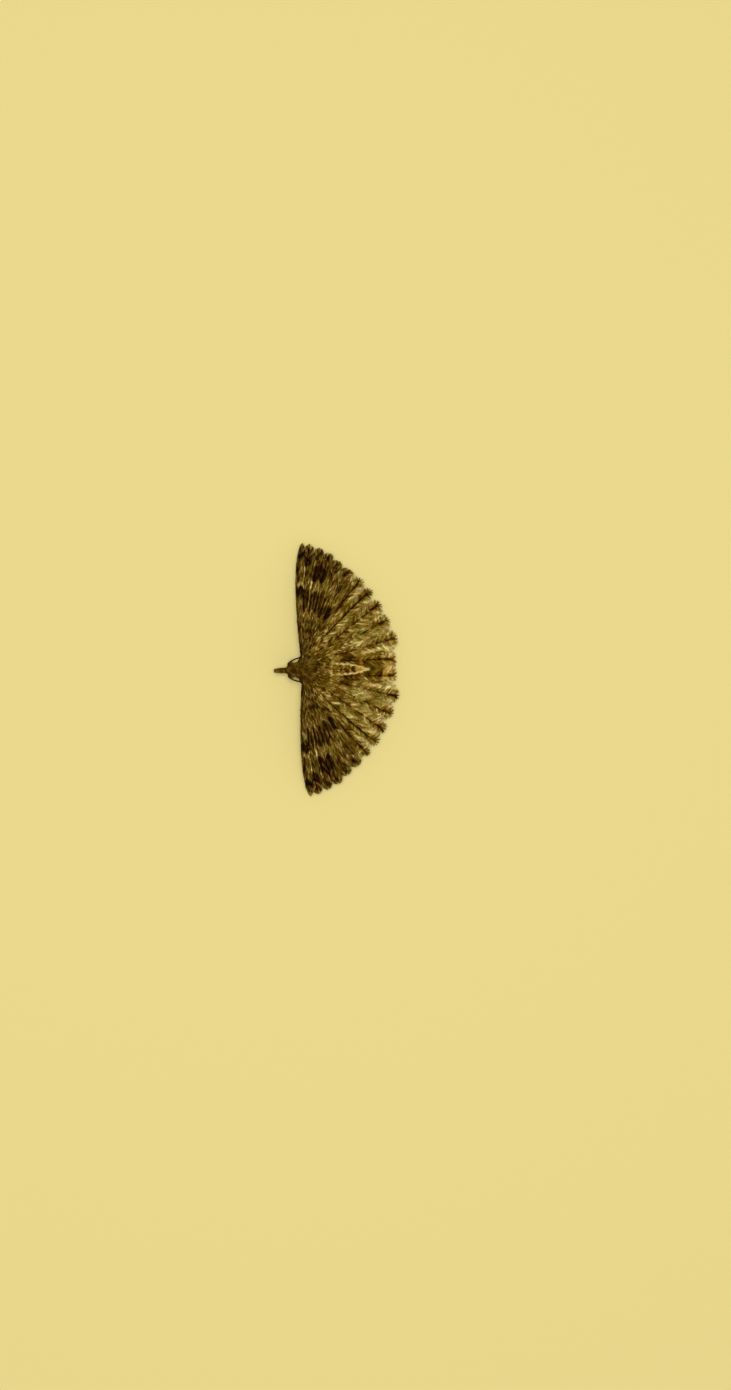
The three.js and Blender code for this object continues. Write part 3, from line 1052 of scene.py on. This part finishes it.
    def lay(self, coat: Coat, kind: Kind, y: Array, angle: Array,
            way_of: Callable[[Array, Array, Array], Array], share: Array | float = 1.0,
            longer: Array | float = 0.0, narrower: Array | float = 0.0) -> None:
        """Lays scales on the trunk.

        Args:
            coat: The coat.
            kind: Their kind.
            y: Where they start along the trunk.
            angle: Where they start round it, from the left side upwards.
            way_of: Works out which way they point from the roots, the tangents to the tail and the normals.
            share: How much of its length each has.
            longer: How much longer each is than its kind.
            narrower: How much narrower.
        """
        rng, n = self.rng, len(y)
        length = kind.lengths(rng, n) * share + longer
        width = kind.widths(rng, n) - narrower
        shade = kind.darkest + (1 - kind.darkest) * rng.random(n)
        t = self.at_y(y)
        root, tail, normal = self.trunk.surface(t, angle)
        atlas = np.stack([inset(t), inset(angle / (2 * np.pi) % 1)], 1)
        values = {"shade": shade, "along": y, "side": np.abs(np.cos(angle))}
        coat.add(Blade.SCALE, root - normal * 0.01, unit(way_of(root, tail, normal)), normal, length, width,
                 -normal * (kind.press * length)[:, None], atlas, values)

    def close_scales(self, coat: Coat) -> None:
        """Lays close scales that point to the tail all over the trunk, and down over the face."""
        rng, n = self.rng, CLOSE.count
        t, angle = self.scatter(n)
        angle = np.where((angle > np.pi) & (rng.random(n) < 0.35), angle - np.pi, angle)
        y = spline(self.trunk.stations, t)[:, 0]
        face = 1 - smooth_rise(y, -0.84, -0.78)
        shoulder = smooth_rise(y, -0.3, 0.0) * (1 - smooth_rise(y, 0.4, 0.7))

        def way_of(root: Array, tail: Array, normal: Array) -> Array:
            """To the tail, or down over the face, and outwards on the shoulders."""
            aside = np.stack([np.sign(root[:, 0]), 0 * y, 0 * y], -1)
            lean = 0.35 * smooth_rise(np.abs(root[:, 0]), 0.25, 0.5) * shoulder
            return (tail * np.where(face > 0.5, -1, 1)[:, None] + aside * lean[:, None]
                    + normal * rng.uniform(0.12, 0.22, n)[:, None] + CLOSE.strays(rng, n))

        longer = 0.06 * smooth_rise(y, 0.2, 0.6) - 0.05 * (1 - smooth_rise(y, -0.7, -0.4))
        self.lay(coat, CLOSE, y, angle, way_of, longer=longer, narrower=0.012 * face)

    def shoulders(self, coat: Coat) -> None:
        """Lays the long scales that run from the thorax's sides out over the wing bases."""
        rng, n = self.rng, SHOULDER.count
        front, rear = SHOULDER.band
        for side in Side:
            y = rng.uniform(front, rear, n)
            up = rng.uniform(0.10, 1.15, n)
            turn = np.radians(np.maximum(12 + 62 * (y - front) / 0.66 + 12 * rng.standard_normal(n), 7))

            def way_of(root: Array, tail: Array, normal: Array) -> Array:
                """Outwards in front, and more and more to the tail behind."""
                return np.stack([np.cos(turn) * side.value, np.sin(turn), 0.08 - 0.35 * (up - 0.3)], -1)

            share = 0.45 + 0.55 * smooth_rise(y, front, 0.15)
            self.lay(coat, SHOULDER, y, side.turned(up), way_of, share)

    def side_fringes(self, coat: Coat) -> None:
        """Lays the long cream scales along the abdomen's sides, closer towards the tail."""
        rng, (front, rear) = self.rng, FRINGE.band
        for side in Side:
            n = FRINGE.count - (self.fewer if side is Side.RIGHT else 0)
            y = front + (rear - front) * rng.random(n) ** 0.7
            up = 0.46 + 0.14 * rng.standard_normal(n)
            self.lay(coat, FRINGE, y, side.turned(up), self.straight(FRINGE))

    def straight(self, kind: Kind) -> Callable[[Array, Array, Array], Array]:
        """The way of scales that lie straight along the trunk."""
        def way_of(root: Array, tail: Array, normal: Array) -> Array:
            """To the tail or away from it."""
            return tail * kind.back + normal * kind.lift + kind.strays(self.rng, len(root))

        return way_of

    def tufts(self, coat: Coat) -> None:
        """Lays the collar behind the head and the brow on the upper side, and the tuft at the tail."""
        for kind in (COLLAR, BROW, TAIL):
            y = self.rng.uniform(*kind.band, kind.count)
            ends = (0, 2 * np.pi) if kind is TAIL else (-0.3, np.pi + 0.3)
            self.lay(coat, kind, y, self.rng.uniform(*ends, kind.count), self.straight(kind))

    def eye_rims(self, coat: Coat) -> None:
        """Lays the small scales round each eye, which lean outwards and back."""
        rng, n = self.rng, EYE_RIM.count
        for side in Side:
            centre, look = self.eye_place(side)
            first = unit(np.cross(look, [0.0, 1.0, 0.0]))
            turn = rng.uniform(0, 2 * np.pi, n)
            outward = first * np.cos(turn)[:, None] + np.cross(look, first) * np.sin(turn)[:, None]
            root = centre + look * rng.uniform(-0.12, -0.05, n)[:, None] + outward * self.eye_rim
            lean = look * 0.55 + np.array([0, 0.35, 0])
            way = unit(lean + outward * 0.5 + EYE_RIM.strays(rng, n))
            atlas = np.stack([inset(self.at_y(root[:, 1])), 0.25 + 0.02 * np.cos(turn)], 1)
            coat.add(Blade.SCALE, root, way, outward, EYE_RIM.lengths(rng, n), EYE_RIM.widths(rng, n),
                     look * 0.01, atlas,
                     {"shade": 0.4 * rng.random(n), "along": root[:, 1], "side": np.ones(n)})

    def palp_coat(self, coat: Coat) -> None:
        """Lays the scales of the palps, longest below their second joint, and closed over their tips."""
        rng, n = self.rng, PALP_SCALE.count
        for side in Side:
            t, angle = spread(rng, n), rng.uniform(0, 2 * np.pi, n)
            centre, tangent, normal, radius = PALP.around(t, angle, side)
            below = smooth_rise(-np.sin(angle), 0.2, 0.9)
            below = below * smooth_rise(t, 0.15, 0.4) * (1 - smooth_rise(t, 0.6, 0.85))
            way = unit(tangent + normal * (0.05 + 0.25 * below)[:, None] + PALP_SCALE.strays(rng, n))
            length = (PALP_SCALE.lengths(rng, n) + 0.06 * below) * (1 - 0.45 * smooth_rise(t, 0.8, 1.0))
            strip = 0.02 if side is Side.LEFT else 0.52
            atlas = np.stack([0.01 + 0.2 * t, strip + 0.45 * angle / (2 * np.pi)], 1)
            out = radius * np.where(t > 0.93, 0.9 * rng.random(n) ** 0.5, 0.9)
            coat.add(Blade.SCALE, centre + normal * out[:, None], way, normal, length,
                     PALP_SCALE.widths(rng, n), NO_BEND, atlas,
                     {"shade": rng.random(n), "along": centre[:, 1], "side": np.zeros(n)})

    def limb_coat(self, coat: Coat) -> None:
        """Lays fine scales over the legs, and short hairs on the feelers."""
        rng = self.rng
        strips = [(limb, side) for limb, side in self.limbs() if limb is not PALP]
        for row, (limb, side) in enumerate(strips):
            kind, shape = (HAIR, Blade.BRISTLE) if limb is FEELER else (LEG_SCALE, Blade.SCALE)
            n = kind.count
            t, angle = spread(rng, n), rng.uniform(0, 2 * np.pi, n)
            centre, tangent, normal, radius = limb.around(t, angle, side)
            way = unit(tangent + normal * kind.lift + kind.strays(rng, n))
            length, width = kind.lengths(rng, n), np.full(n, kind.width[0])
            if kind is LEG_SCALE:
                length, width = length * (0.6 + 4 * radius), width + 0.25 * radius
            place = centre + normal * (radius * 0.9)[:, None]
            place[:, 2] = np.maximum(place[:, 2], self.floor_gap)
            way[:, 2] = np.where(place[:, 2] < 5 * self.floor_gap, np.maximum(way[:, 2], 0.0), way[:, 2])
            atlas = np.stack([inset(t), (row + 0.1 + 0.8 * angle / (2 * np.pi)) / len(strips)], 1)
            coat.add(shape, place, unit(way), normal, length, width, NO_BEND, atlas,
                     {"shade": rng.random(n), "along": t * limb.length(), "ring": np.full(n, limb.ring)})

    def build(self) -> None:
        """Builds the skin, the eyes and both coats."""
        self.skin()
        self.eyes()
        scales = Coat()
        self.close_scales(scales)
        self.shoulders(scales)
        self.side_fringes(scales)
        self.tufts(scales)
        self.eye_rims(scales)
        self.palp_coat(scales)
        place_in_frame(scales.build("body_coat", BodyScaleFinish()), "body_scales")
        fine = Coat()
        self.limb_coat(fine)
        place_in_frame(fine.build("limb_coat", LimbFinish()), "limb_scales")


# ---------------------------------------- wings


@dataclass(frozen=True)
class WingForm:
    """The measures of one pair of wings.

    Attributes:
        name: The frame's name for it.
        first_plume: Its first plume's number, counted from the front.
        joint: The point that angles and lengths are measured from, in X and Y.
        root: The stretch of the thorax's side that it grows from, front and rear.
        fan: For each side, degrees behind straight out: front edge, six plumes, rear edge.
        length: Lengths from the joint, for the same eight places.
        root_height: Z at the root.
        droop: How far the tips lie below the root.
        sink: How much further the rear edge sags, under the abdomen.
        bow: How far forward the front edge bows.
        bend: How far forward the first plumes' shafts bend, close to their roots.
        slope: The angle between bristles and shaft, in degrees.
        vane: The half-width of a plume's vane, as a share of the way to its border.
        cap: The length over which a vane rounds off to its tip.
        point: How pointed that tip is; 1 makes it half an oval.
        lobe: The length of the bristles at a plume's tip.
        bars: The share of the bristles' shading that goes in even bars.
        ragged: How unevenly they end, tuft by tuft.
    """

    name: str
    first_plume: int
    joint: tuple[float, float]
    root: tuple[tuple[float, float], tuple[float, float]]
    fan: dict[Side, tuple[float, ...]]
    length: tuple[float, ...]
    root_height: float
    droop: float
    sink: float
    bow: float
    bend: float
    slope: float
    vane: float
    cap: float
    point: float
    lobe: float
    bars: float
    ragged: float


FOREWING = WingForm(
    "forewing", 0, (0.77, 0.0), ((0.50, -0.02), (0.50, 0.22)),
    {Side.LEFT: (1.3, 2.2, 6.2, 11.3, 17.0, 23.5, 30.5, 34.8),
     Side.RIGHT: (2.4, 3.2, 7.1, 12.6, 17.4, 23.4, 30.0, 34.3)},
    (6.78, 6.75, 6.70, 6.55, 6.41, 6.13, 5.95, 5.92),
    root_height=1.15, droop=0.75, sink=0.0, bow=1.14, bend=0.0, slope=26.0, vane=1.20, cap=0.50,
    point=0.85, lobe=0.24, bars=0.15, ragged=0.22)
HINDWING = WingForm(
    "hindwing", 6, (0.59, 0.18), ((0.50, 0.26), (0.40, 0.80)),
    {Side.LEFT: (33.2, 37.4, 45.8, 54.8, 65.4, 77.0, 90.0, 95.2),
     Side.RIGHT: (32.8, 37.3, 45.7, 55.4, 66.3, 78.8, 91.6, 97.6)},
    (5.87, 5.93, 5.78, 5.68, 5.62, 5.68, 5.46, 5.42),
    root_height=1.12, droop=0.72, sink=0.30, bow=0.0, bend=1.4, slope=40.0, vane=1.44, cap=0.98,
    point=0.94, lobe=0.30, bars=0.20, ragged=0.78)


# the scales on the upper and lower face of each shaft, and over each plume's root
UPPER = Kind(300, (0.13, 0.20), (0.022, 0.034), 0.03, 0.04, 0.02)
UNDER = Kind(160, (0.13, 0.20), (0.022, 0.034), 0.03, 0.04, 0.02)
BASE = Kind(520 // PLUMES, (0.18, 0.30), (0.030, 0.046), stray=0.06, press=0.04)


class Wing:
    """One wing: six plumes, each a shaft of skin with bristles on both sides and scales on top.

    Attributes:
        stops: The plume lines at which a form gives its angles and lengths.
        pleat: Half the height of a pleat.
        per_side: Bristles on each side of a shaft.
        thickness: Width of the finest and of the coarsest bristle.
        gathering: How far before a plume's tip its bristles start to draw together, and have done so.
        short_share: The share of the bristles that stay short.
        fleck_share: The share of the clumps of bristles that are cream flecks.
        clump: Length of shaft whose bristles take one shade.
        tufts: Tufts in which the bristles of one side end.
        inner_rim: Vane, cap and point of the side that lies along the abdomen.
        bar: Distance from one shaded bar to the next.
        front_slope: The bristles' angle at the moth's front edge, in degrees.
        laps: The plume sides where forewing and hindwing lie over each other.
    """

    stops = np.array([0, *(np.arange(PLUMES) + 0.5), PLUMES])
    pleat = 0.04
    per_side = 660
    thickness = (0.022, 0.034)
    gathering = (1.6, 0.6)
    short_share = 0.25
    fleck_share = 0.07
    clump = 0.075
    tufts = 17
    inner_rim = (1.50, 0.55, 0.8)
    bar = 0.33
    front_slope = 12.0
    laps = {"forewing": (PLUMES - 1, 1), "hindwing": (0, -1)}

    def __init__(self, form: WingForm, side: Side) -> None:
        """Takes the wing's measures and its side."""
        self.form = form
        self.side = side
        self.rng = np.random.default_rng(form.first_plume * 10 + side.value + 5)
        self.phase = self.rng.uniform(0, 2 * np.pi, PLUMES)
        self.uneven = self.rng.uniform(0.94, 1.12, (PLUMES, 2))

    def middle(self, u: Array, s: Array) -> Array:
        """The wing's middle surface.

        A place s of the way along plume line u lies on the straight line from the root to the
        tip, and falls by droop*s^2, and towards the rear edge by sink*(u/6)^3*4*s*(1-s) more. It is
        bowed forward by bow*s^1.2*(1-s)^0.6*(1-u/6)^2, and by bend*s^0.8*(1-s)^1.2 near u = 1. The
        pleats lift the shafts, and sink the borders between the plumes as far.

        Args:
            u: Plumes behind the front edge, 0 to 6.
            s: How far out, 0 to 1.

        Returns:
            Points in millimetres.
        """
        form = self.form
        angle = np.radians(np.interp(u, self.stops, form.fan[self.side]))
        length = np.interp(u, self.stops, form.length)
        share = (u / PLUMES)[..., None]
        root = np.array(form.root[0]) * (1 - share) + np.array(form.root[1]) * share
        tip = np.array(form.joint) + length[..., None] * np.stack([np.cos(angle), np.sin(angle)], -1)
        flat = root + (tip - root) * s[..., None]
        bow = form.bow * s**1.2 * np.maximum(0, 1 - s) ** 0.6 * (1 - share[..., 0]) ** 2
        bow = bow + form.bend * s**0.8 * np.maximum(0, 1 - s) ** 1.2 * np.exp(-(((u - 1) / 1.3) ** 2))
        ridge = -self.pleat * np.cos(2 * np.pi * u) * np.minimum(1, 3 * s)
        fall = form.droop * s**2 + form.sink * share[..., 0] ** 3 * 4 * s * (1 - s)
        height = form.root_height - fall + ridge
        return np.stack([flat[..., 0] * self.side.value, flat[..., 1] - bow, height], -1)

    def axes(self, u: Array, s: Array) -> tuple[Array, Array, Array, Array]:
        """The middle surface at (u, s) with unit vectors outwards, rearwards and upwards there."""
        ds, du = 2e-3, 1e-2
        s_safe = np.clip(s, ds, 1 - ds)
        out = unit(self.middle(u, s_safe + ds) - self.middle(u, s_safe - ds))
        back = self.middle(np.minimum(u + du, PLUMES), s) - self.middle(np.maximum(u - du, 0), s)
        back = unit(back - out * np.einsum("...i,...i->...", back, out)[..., None])
        up = np.cross(out, back) * self.side.value
        return self.middle(u, s), out, back, up

    def gap(self, plume: int, edge: int, s: Array) -> Array:
        """The distance from a plume's shaft to the border with its neighbour, in front for edge = -1."""
        u = np.full_like(s, plume + 0.5)
        here, _, back, _ = self.axes(u, s)
        return np.abs(np.einsum("...i,...i->...", self.middle(u + 0.5 * edge, s) - here, back))

    def half_gap(self, plume: int, s: Array) -> Array:
        """The mean of the two distances from a plume's shaft to its borders."""
        return 0.5 * (self.gap(plume, -1, s) + self.gap(plume, 1, s))

    def length(self, plume: int) -> float:
        """A plume's length."""
        return float(np.interp(plume + 0.5, self.stops, self.form.length))

    def at_front(self, plume: int, edge: int) -> bool:
        """Tells whether one side of a plume is the moth's front edge."""
        return self.form is FOREWING and plume == 0 and edge < 0

    def rim_shape(self, plume: int, edge: int) -> tuple[float, float, float]:
        """The vane's share, the cap and the point of one side of a plume."""
        form = self.form
        if form is HINDWING and plume == PLUMES - 1 and edge > 0:
            return self.inner_rim
        if self.at_front(plume, edge):
            return 1.0, form.cap, form.point
        uneven = self.uneven[plume, (edge + 1) // 2]
        return form.vane * uneven, form.cap / uneven, form.point

    def lap(self, plume: int, edge: int) -> float:
        """How much wider a vane is where the forewing and the hindwing lie over each other."""
        return 0.10 if (plume, edge) == self.laps[self.form.name] else 0.0

    def outline(self, plume: int, edge: int, m: Array) -> tuple[Array, Array]:
        """The rim of a plume's vane on one side.

        From the root it keeps the form's share of the gap's width, and over the last stretch,
        the cap, it closes as r = cap*sin(a), w = w0*cos(a)^point.

        Args:
            plume: The plume's number.
            edge: -1 for the front side and 1 for the rear one.
            m: The place along the rim, 0 at the root to 1 at the tip.

        Returns:
            How far along the plume the rim lies there, and how far aside.
        """
        total = self.length(plume)
        vane, cap, point = self.rim_shape(plume, edge)
        first, last = 0.25, total - cap
        share = (last - first) / (last - first + 2.4 * cap)
        a = np.clip((m - share) / (1 - share), 0, 1) * np.pi / 2
        along = np.where(m < share, first + (last - first) * m / share, last + cap * np.sin(a))
        width = vane * self.gap(plume, edge, np.minimum(along, last) / total)
        return along, (width + self.lap(plume, edge)) * np.cos(a) ** point

    def numbers(self, plume: int, s: Array, shade: Array, fleck: Array) -> dict[str, Array]:
        """What the finish reads at blades that start s of the way along a plume."""
        length = self.length(plume)
        return {"reach": s * length, "rim": (1 - s) * length, "shade": shade, "fleck": fleck}

    def across(self, plume: int, s: Array, aside: Array) -> dict[str, Array]:
        """Turns a distance from the shaft, negative in front, into the finish's fan and edge."""
        front, rear = (np.maximum(self.gap(plume, edge, s), 0.02) for edge in (-1, 1))
        width = np.where(aside < 0, front[..., None], rear[..., None]) if aside.ndim > s.ndim else (
            np.where(aside < 0, front, rear))
        share = np.clip(aside / width, -1.1, 1.1)
        return {"fan": self.form.first_plume + plume + 0.5 + 0.5 * share, "edge": np.abs(share)}

    def plume_skin(self) -> bpy.types.Object:
        """Makes the six shafts: flat tubes, broad and overlapping at the root and fine at the tip."""
        rows, sides = 90, 10
        turn = np.cos(np.linspace(0, 2 * np.pi, sides, endpoint=False))
        tubes = []
        values: dict[str, list[Array]] = {}
        for plume in range(PLUMES):
            s = np.linspace(0.0, 1 - self.form.lobe / self.length(plume), rows)
            here, _, back, up = self.axes(np.full(rows, plume + 0.5), s)
            web = self.half_gap(plume, s) * 1.15 * (1 - smooth_rise(s, 0.22, 0.5))
            wide = np.maximum(web, 0.050 - 0.030 * s)
            tubes.append(closed_tube(here, back, up, wide, 0.030 - 0.018 * s, sides))
            numbers = self.numbers(plume, s, np.full(rows, 0.30), np.zeros(rows))
            rings = {key: np.repeat(column[:, None], sides, 1) for key, column in numbers.items()}
            rings |= self.across(plume, s, wide[:, None] * turn)
            for key, grid in rings.items():
                values.setdefault(key, []).append(np.concatenate([grid.ravel(), grid[[0, -1], 0]]))
        piece = new_piece(f"{self.form.name}_skin_{self.side.word}", *join_tubes(tubes), PlumeFinish())
        add_attributes(piece, {key: np.concatenate(rows_of) for key, rows_of in values.items()})
        place_in_frame(piece, "wing_plumes", f"{self.form.name}_{self.side.word}")
        return piece

    def add_blades(self, coat: Coat, shape: Blade, plume: int, s: Array, root: Array, tip: Array, up: Array,
                   width: Array, bend: Array, shade: Array, fleck: Array, lane: Array) -> None:
        """Adds blades of one plume to a coat.

        Args:
            coat: The coat.
            shape: The blades' outline.
            plume: The plume's number, 0 to 5.
            s: How far along the shaft each starts.
            root: Where each starts.
            tip: Where each ends.
            up: Which way each faces.
            width: Widths.
            bend: How far each is bowed towards its tip.
            shade: How light each is, 0 to 1.
            fleck: How much of a cream fleck each is, 0 to 1.
            lane: Each root's place across the shaft's own unwrapped strip, 0 to 1.
        """
        numbers = self.numbers(plume, s, shade, fleck)
        middle, out, back, _ = self.axes(np.full_like(s, plume + 0.5), s)

        def at_points(points: Array, t: Array) -> dict[str, Array]:
            """What the finish reads at each vertex."""
            away = points - middle[:, None]
            aside = np.einsum("nki,ni->nk", away, back)
            ahead = np.einsum("nki,ni->nk", away, out)
            total = self.length(plume)
            tip_s = np.clip(s + ahead.mean(1) / total, 0.02, 1)
            return self.across(plume, tip_s, aside) | {
                "rim": numbers["rim"][:, None] - ahead, "reach": numbers["reach"][:, None] + 0.35 * ahead}

        way = tip - root - bend
        length = np.linalg.norm(way, axis=1)
        atlas = np.stack([inset(s), (plume + 0.05 + 0.9 * lane) / PLUMES], 1)
        coat.add(shape, root, way / length[:, None], up, length, width, bend, atlas, numbers, at_points)

    def bristles(self, coat: Coat, plume: int, edge: int) -> None:
        """Lays the bristles along one side of a plume's shaft; edge is -1 in front and 1 behind.

        Each ends near the vane's outline. It leaves the shaft behind that place, so that it lies
        at the form's slope, and the last ones leave it at the shaft's end and spread like a brush.
        Towards the plume's end the tips draw together in tufts, some longer than others.
        """
        rng, form = self.rng, self.form
        n, total = self.per_side, self.length(plume)
        even = spread(rng, n) ** 0.8
        along, width = self.outline(plume, edge, even)
        share = smooth_rise(along, total - self.rim_shape(plume, edge)[1], total)
        slope = self.front_slope if self.at_front(plume, edge) else form.slope
        steep = np.radians(slope * (1 + 0.1 * rng.standard_normal(n)))
        start = (along - np.maximum(width / np.tan(steep), 0.10)) * (1 - share) + (total - form.lobe) * share
        start = np.clip(start, 0.05, total - form.lobe)
        clump = np.floor(start / self.clump + 0.35 * rng.standard_normal(n)).astype(int) + 3
        table = rng.random((clump.max() + 1, 4))
        loose = smooth_rise(along, total - self.gathering[0], total - self.gathering[1])
        tuft = np.clip(even * self.tufts + 0.2 * rng.standard_normal(n), 0, self.tufts - 1).astype(int)
        off = (tuft + 0.5) / self.tufts - even
        along, width = self.outline(plume, edge, np.clip(even + form.ragged * loose * off, 0, 1))
        ends = rng.random(self.tufts)[tuft]
        ragged = form.ragged * (0.15 + 0.85 * loose)
        shorter = 0.62 * (ends - 0.44) + 0.12 * (table[clump, 0] - 0.5) + 0.25 * np.abs(off) * self.tufts
        grown = (0.97 - ragged * shorter) * rng.uniform(0.93, 1.04, n)
        grown = np.where(rng.random(n) < self.short_share, grown * rng.uniform(0.5, 0.9, n), grown)
        s_root, s_tip = start / total, np.minimum(along / total, 1)
        here, out, back, up = self.axes(np.full(n, plume + 0.5), s_root)
        there, _, back_tip, up_tip = self.axes(np.full(n, plume + 0.5), s_tip)
        root = here + back * (edge * (0.026 - 0.014 * s_root))[:, None]
        root = root + up * rng.uniform(-0.010, 0.012, n)[:, None]
        lift = 0.020 * edge + 0.010 * rng.standard_normal(n) - 0.012
        tip = there + back_tip * (edge * width)[:, None] + up_tip * lift[:, None]
        astray = 0.05 * (table[clump, 1] - 0.5) + 0.20 * ragged * (ends - 0.5)
        tip = tip + out * astray[:, None] + 0.008 * rng.standard_normal((n, 3))
        tip = root + (tip - root) * grown[:, None]
        size = np.linalg.norm(tip - root, axis=1)
        wave = 0.5 + 0.5 * np.sin(2 * np.pi * start / self.bar + self.phase[plume])
        shade = (1 - form.bars) * (0.6 * table[clump, 2] + 0.4 * rng.random(n)) + form.bars * wave
        fleck = (table[clump, 3] > 1 - self.fleck_share) * rng.uniform(0.5, 1.0, n)
        lane = 0.5 + edge * (0.04 + 0.42 * rng.random(n))
        thick = rng.uniform(*self.thickness, n) * (1 + 0.8 * share)
        self.add_blades(coat, Blade.BRISTLE, plume, s_root, root, tip, up, thick,
                        out * (0.10 * size)[:, None] - up * (0.05 * size)[:, None], shade, fleck, lane)

    def scales(self, coat: Coat, plume: int, kind: Kind, face: int) -> None:
        """Lays scales along a shaft, on its upper face for face = 1 and its lower for -1."""
        rng, count = self.rng, kind.count
        s_end = 1 - self.form.lobe / self.length(plume)
        s = 0.02 + (s_end - 0.02) * spread(rng, count)
        here, out, back, up = self.axes(np.full(count, plume + 0.5), s)
        aside = rng.uniform(-1, 1, count)
        web = self.half_gap(plume, s) * 0.9 * (1 - smooth_rise(s, 0.22, 0.45))
        width = np.maximum(0.036 - 0.022 * s, web)
        root = here + back * (aside * width)[:, None] + up * (face * (0.024 - 0.012 * s))[:, None]
        length = kind.lengths(rng, count) * (1 - 0.25 * s)
        way = out + back * (0.16 * aside)[:, None] + up * (face * kind.lift) + kind.strays(rng, count)
        self.add_blades(coat, Blade.SCALE, plume, s, root, root + way * length[:, None], up * face,
                        kind.widths(rng, count), -up * (face * kind.press * length)[:, None],
                        rng.uniform(0, 0.8, count), 1.0 * (rng.random(count) > 0.96), 0.5 + 0.45 * aside)

    def base(self, coat: Coat) -> None:
        """Lays larger scales over the root of the wing, where the plumes run together."""
        rng, n = self.rng, BASE.count
        for plume in range(PLUMES):
            s = 0.01 + 0.34 * rng.random(n) ** 0.9
            u = plume + rng.uniform(0.06 if plume == 0 else 0, 1, n)
            here, out, _, up = self.axes(u, s)
            way = out + up * rng.uniform(0.03, 0.10, n)[:, None] + BASE.strays(rng, n)
            length = BASE.lengths(rng, n)
            root = here + up * 0.03
            self.add_blades(coat, Blade.SCALE, plume, s, root, root + way * length[:, None], up,
                            BASE.widths(rng, n), -up * (BASE.press * length)[:, None],
                            rng.random(n), 1.0 * (rng.random(n) > 0.93), u - plume)

    def build(self) -> None:
        """Builds the wing's skin and coat."""
        self.plume_skin()
        coat = Coat()
        for plume in range(PLUMES):
            for edge in (-1, 1):
                self.bristles(coat, plume, edge)
            self.scales(coat, plume, UPPER, 1)
            self.scales(coat, plume, UNDER, -1)
        self.base(coat)
        place_in_frame(coat.build(f"{self.form.name}_coat_{self.side.word}", PlumeFinish()), "wing_plumes")


# ---------------------------------------- studio


@dataclass(frozen=True)
class Studio:
    """The floor, the lights and the camera straight above.

    Attributes:
        picture: Width and height of the picture.
        mm_per_pixel: Scale of the picture at the wings.
        wing_height: Height above the floor at which that scale holds.
        wing_line: Where the middle of the line through the forewing joints shows, in pixels.
        roll: How far the moth's tail is turned up from level, in degrees.
        lens: Focal length, for a picture as high as the film.
        film: The longer side of the film, in mm.
        key_colour: The key light's warm white.
        soft_colour: The warm white of the fill light and the surroundings.
    """

    picture: tuple[int, int] = (731, 1390)
    mm_per_pixel: float = 0.0593
    wing_height: float = 0.9
    wing_line: tuple[float, float] = (302.0, 669.7)
    roll: float = 2.4
    lens: float = 85.0
    film: float = 36.0
    key_colour: tuple[float, float, float] = (1.0, 0.885, 0.58)
    soft_colour: tuple[float, float, float] = (1.0, 0.885, 0.60)

    def floor(self) -> None:
        """Makes the floor."""
        half = 1500.0
        corners = np.array([[-half, -half, 0], [half, -half, 0], [half, half, 0], [-half, half, 0]])
        new_piece("floor", corners, [np.array([[0, 1, 2, 3]])], FloorFinish())

    def camera(self) -> None:
        """Aims the camera straight down, with the head to the left of the picture."""
        turn = np.radians(self.roll)
        right = Vector((np.sin(turn), np.cos(turn), 0))
        up = Vector((-np.cos(turn), np.sin(turn), 0))
        distance = self.picture[1] * self.mm_per_pixel * self.lens / self.film
        across = (self.picture[0] / 2 - self.wing_line[0]) * self.mm_per_pixel
        down = (self.picture[1] / 2 - self.wing_line[1]) * self.mm_per_pixel
        wings = Vector(-ORIGIN) + Vector((0, 0, self.wing_height))
        spot = wings + right * across - up * down + Vector((0, 0, distance))
        data = bpy.data.cameras.new("camera")
        data.lens = self.lens
        data.sensor_width = self.film
        data.clip_start = 0.005
        camera = bpy.data.objects.new("camera", data)
        bpy.context.scene.collection.objects.link(camera)
        axes = Matrix((right, up, Vector((0, 0, 1)))).transposed().to_4x4()
        camera.matrix_world = Matrix.Translation(spot * MM) @ axes
        bpy.context.scene.camera = camera

    def light(self, name: str, place: tuple[float, float, float], size: float, power: float,
              colour: tuple[float, float, float]) -> None:
        """Adds a soft square light aimed at the moth, at a place in metres."""
        data = bpy.data.lights.new(name, "AREA")
        data.size = size
        data.energy = power
        data.color = colour
        lamp = bpy.data.objects.new(name, data)
        lamp.location = place
        lamp.rotation_euler = Vector(place).to_track_quat("Z", "Y").to_euler()
        bpy.context.scene.collection.objects.link(lamp)

    def surroundings(self) -> None:
        """Makes plain pale surroundings, brightest at the horizon."""
        sh = Shader("surroundings", bpy.data.worlds.new("surroundings"))
        height = sh.node("SeparateXYZ", None, {0: sh.node("TexCoord").outputs["Generated"]}).outputs[2]
        fall = sh.node("MapRange", None, {"Value": height, "From Max": 0.4, "To Min": 0.85, "To Max": 0.27})
        glow = {"Color": (*self.soft_colour, 1.0), "Strength": fall.outputs[0]}
        light = sh.node("Background", None, glow)
        sh.node("OutputWorld", None, {"Surface": light.outputs[0]})
        bpy.context.scene.world = sh.material

    def build(self) -> None:
        """Builds floor, camera, lights and the pale surroundings."""
        self.floor()
        self.camera()
        self.light("key", (-0.016, -0.012, 0.342), 0.18, 0.98, self.key_colour)
        self.light("fill", (0.30, 0.30, 0.35), 0.40, 0.20, self.soft_colour)
        self.surroundings()
        bpy.context.scene.view_settings.view_transform = "Standard"


def main() -> None:
    """Builds the studio and the moth, piece by piece."""
    logging.basicConfig(level=logging.INFO, format="%(message)s")
    Studio().build()
    Body(Trunk()).build()
    for form in (FOREWING, HINDWING):
        for side in Side:
            Wing(form, side).build()


if __name__ == "__main__":
    main()
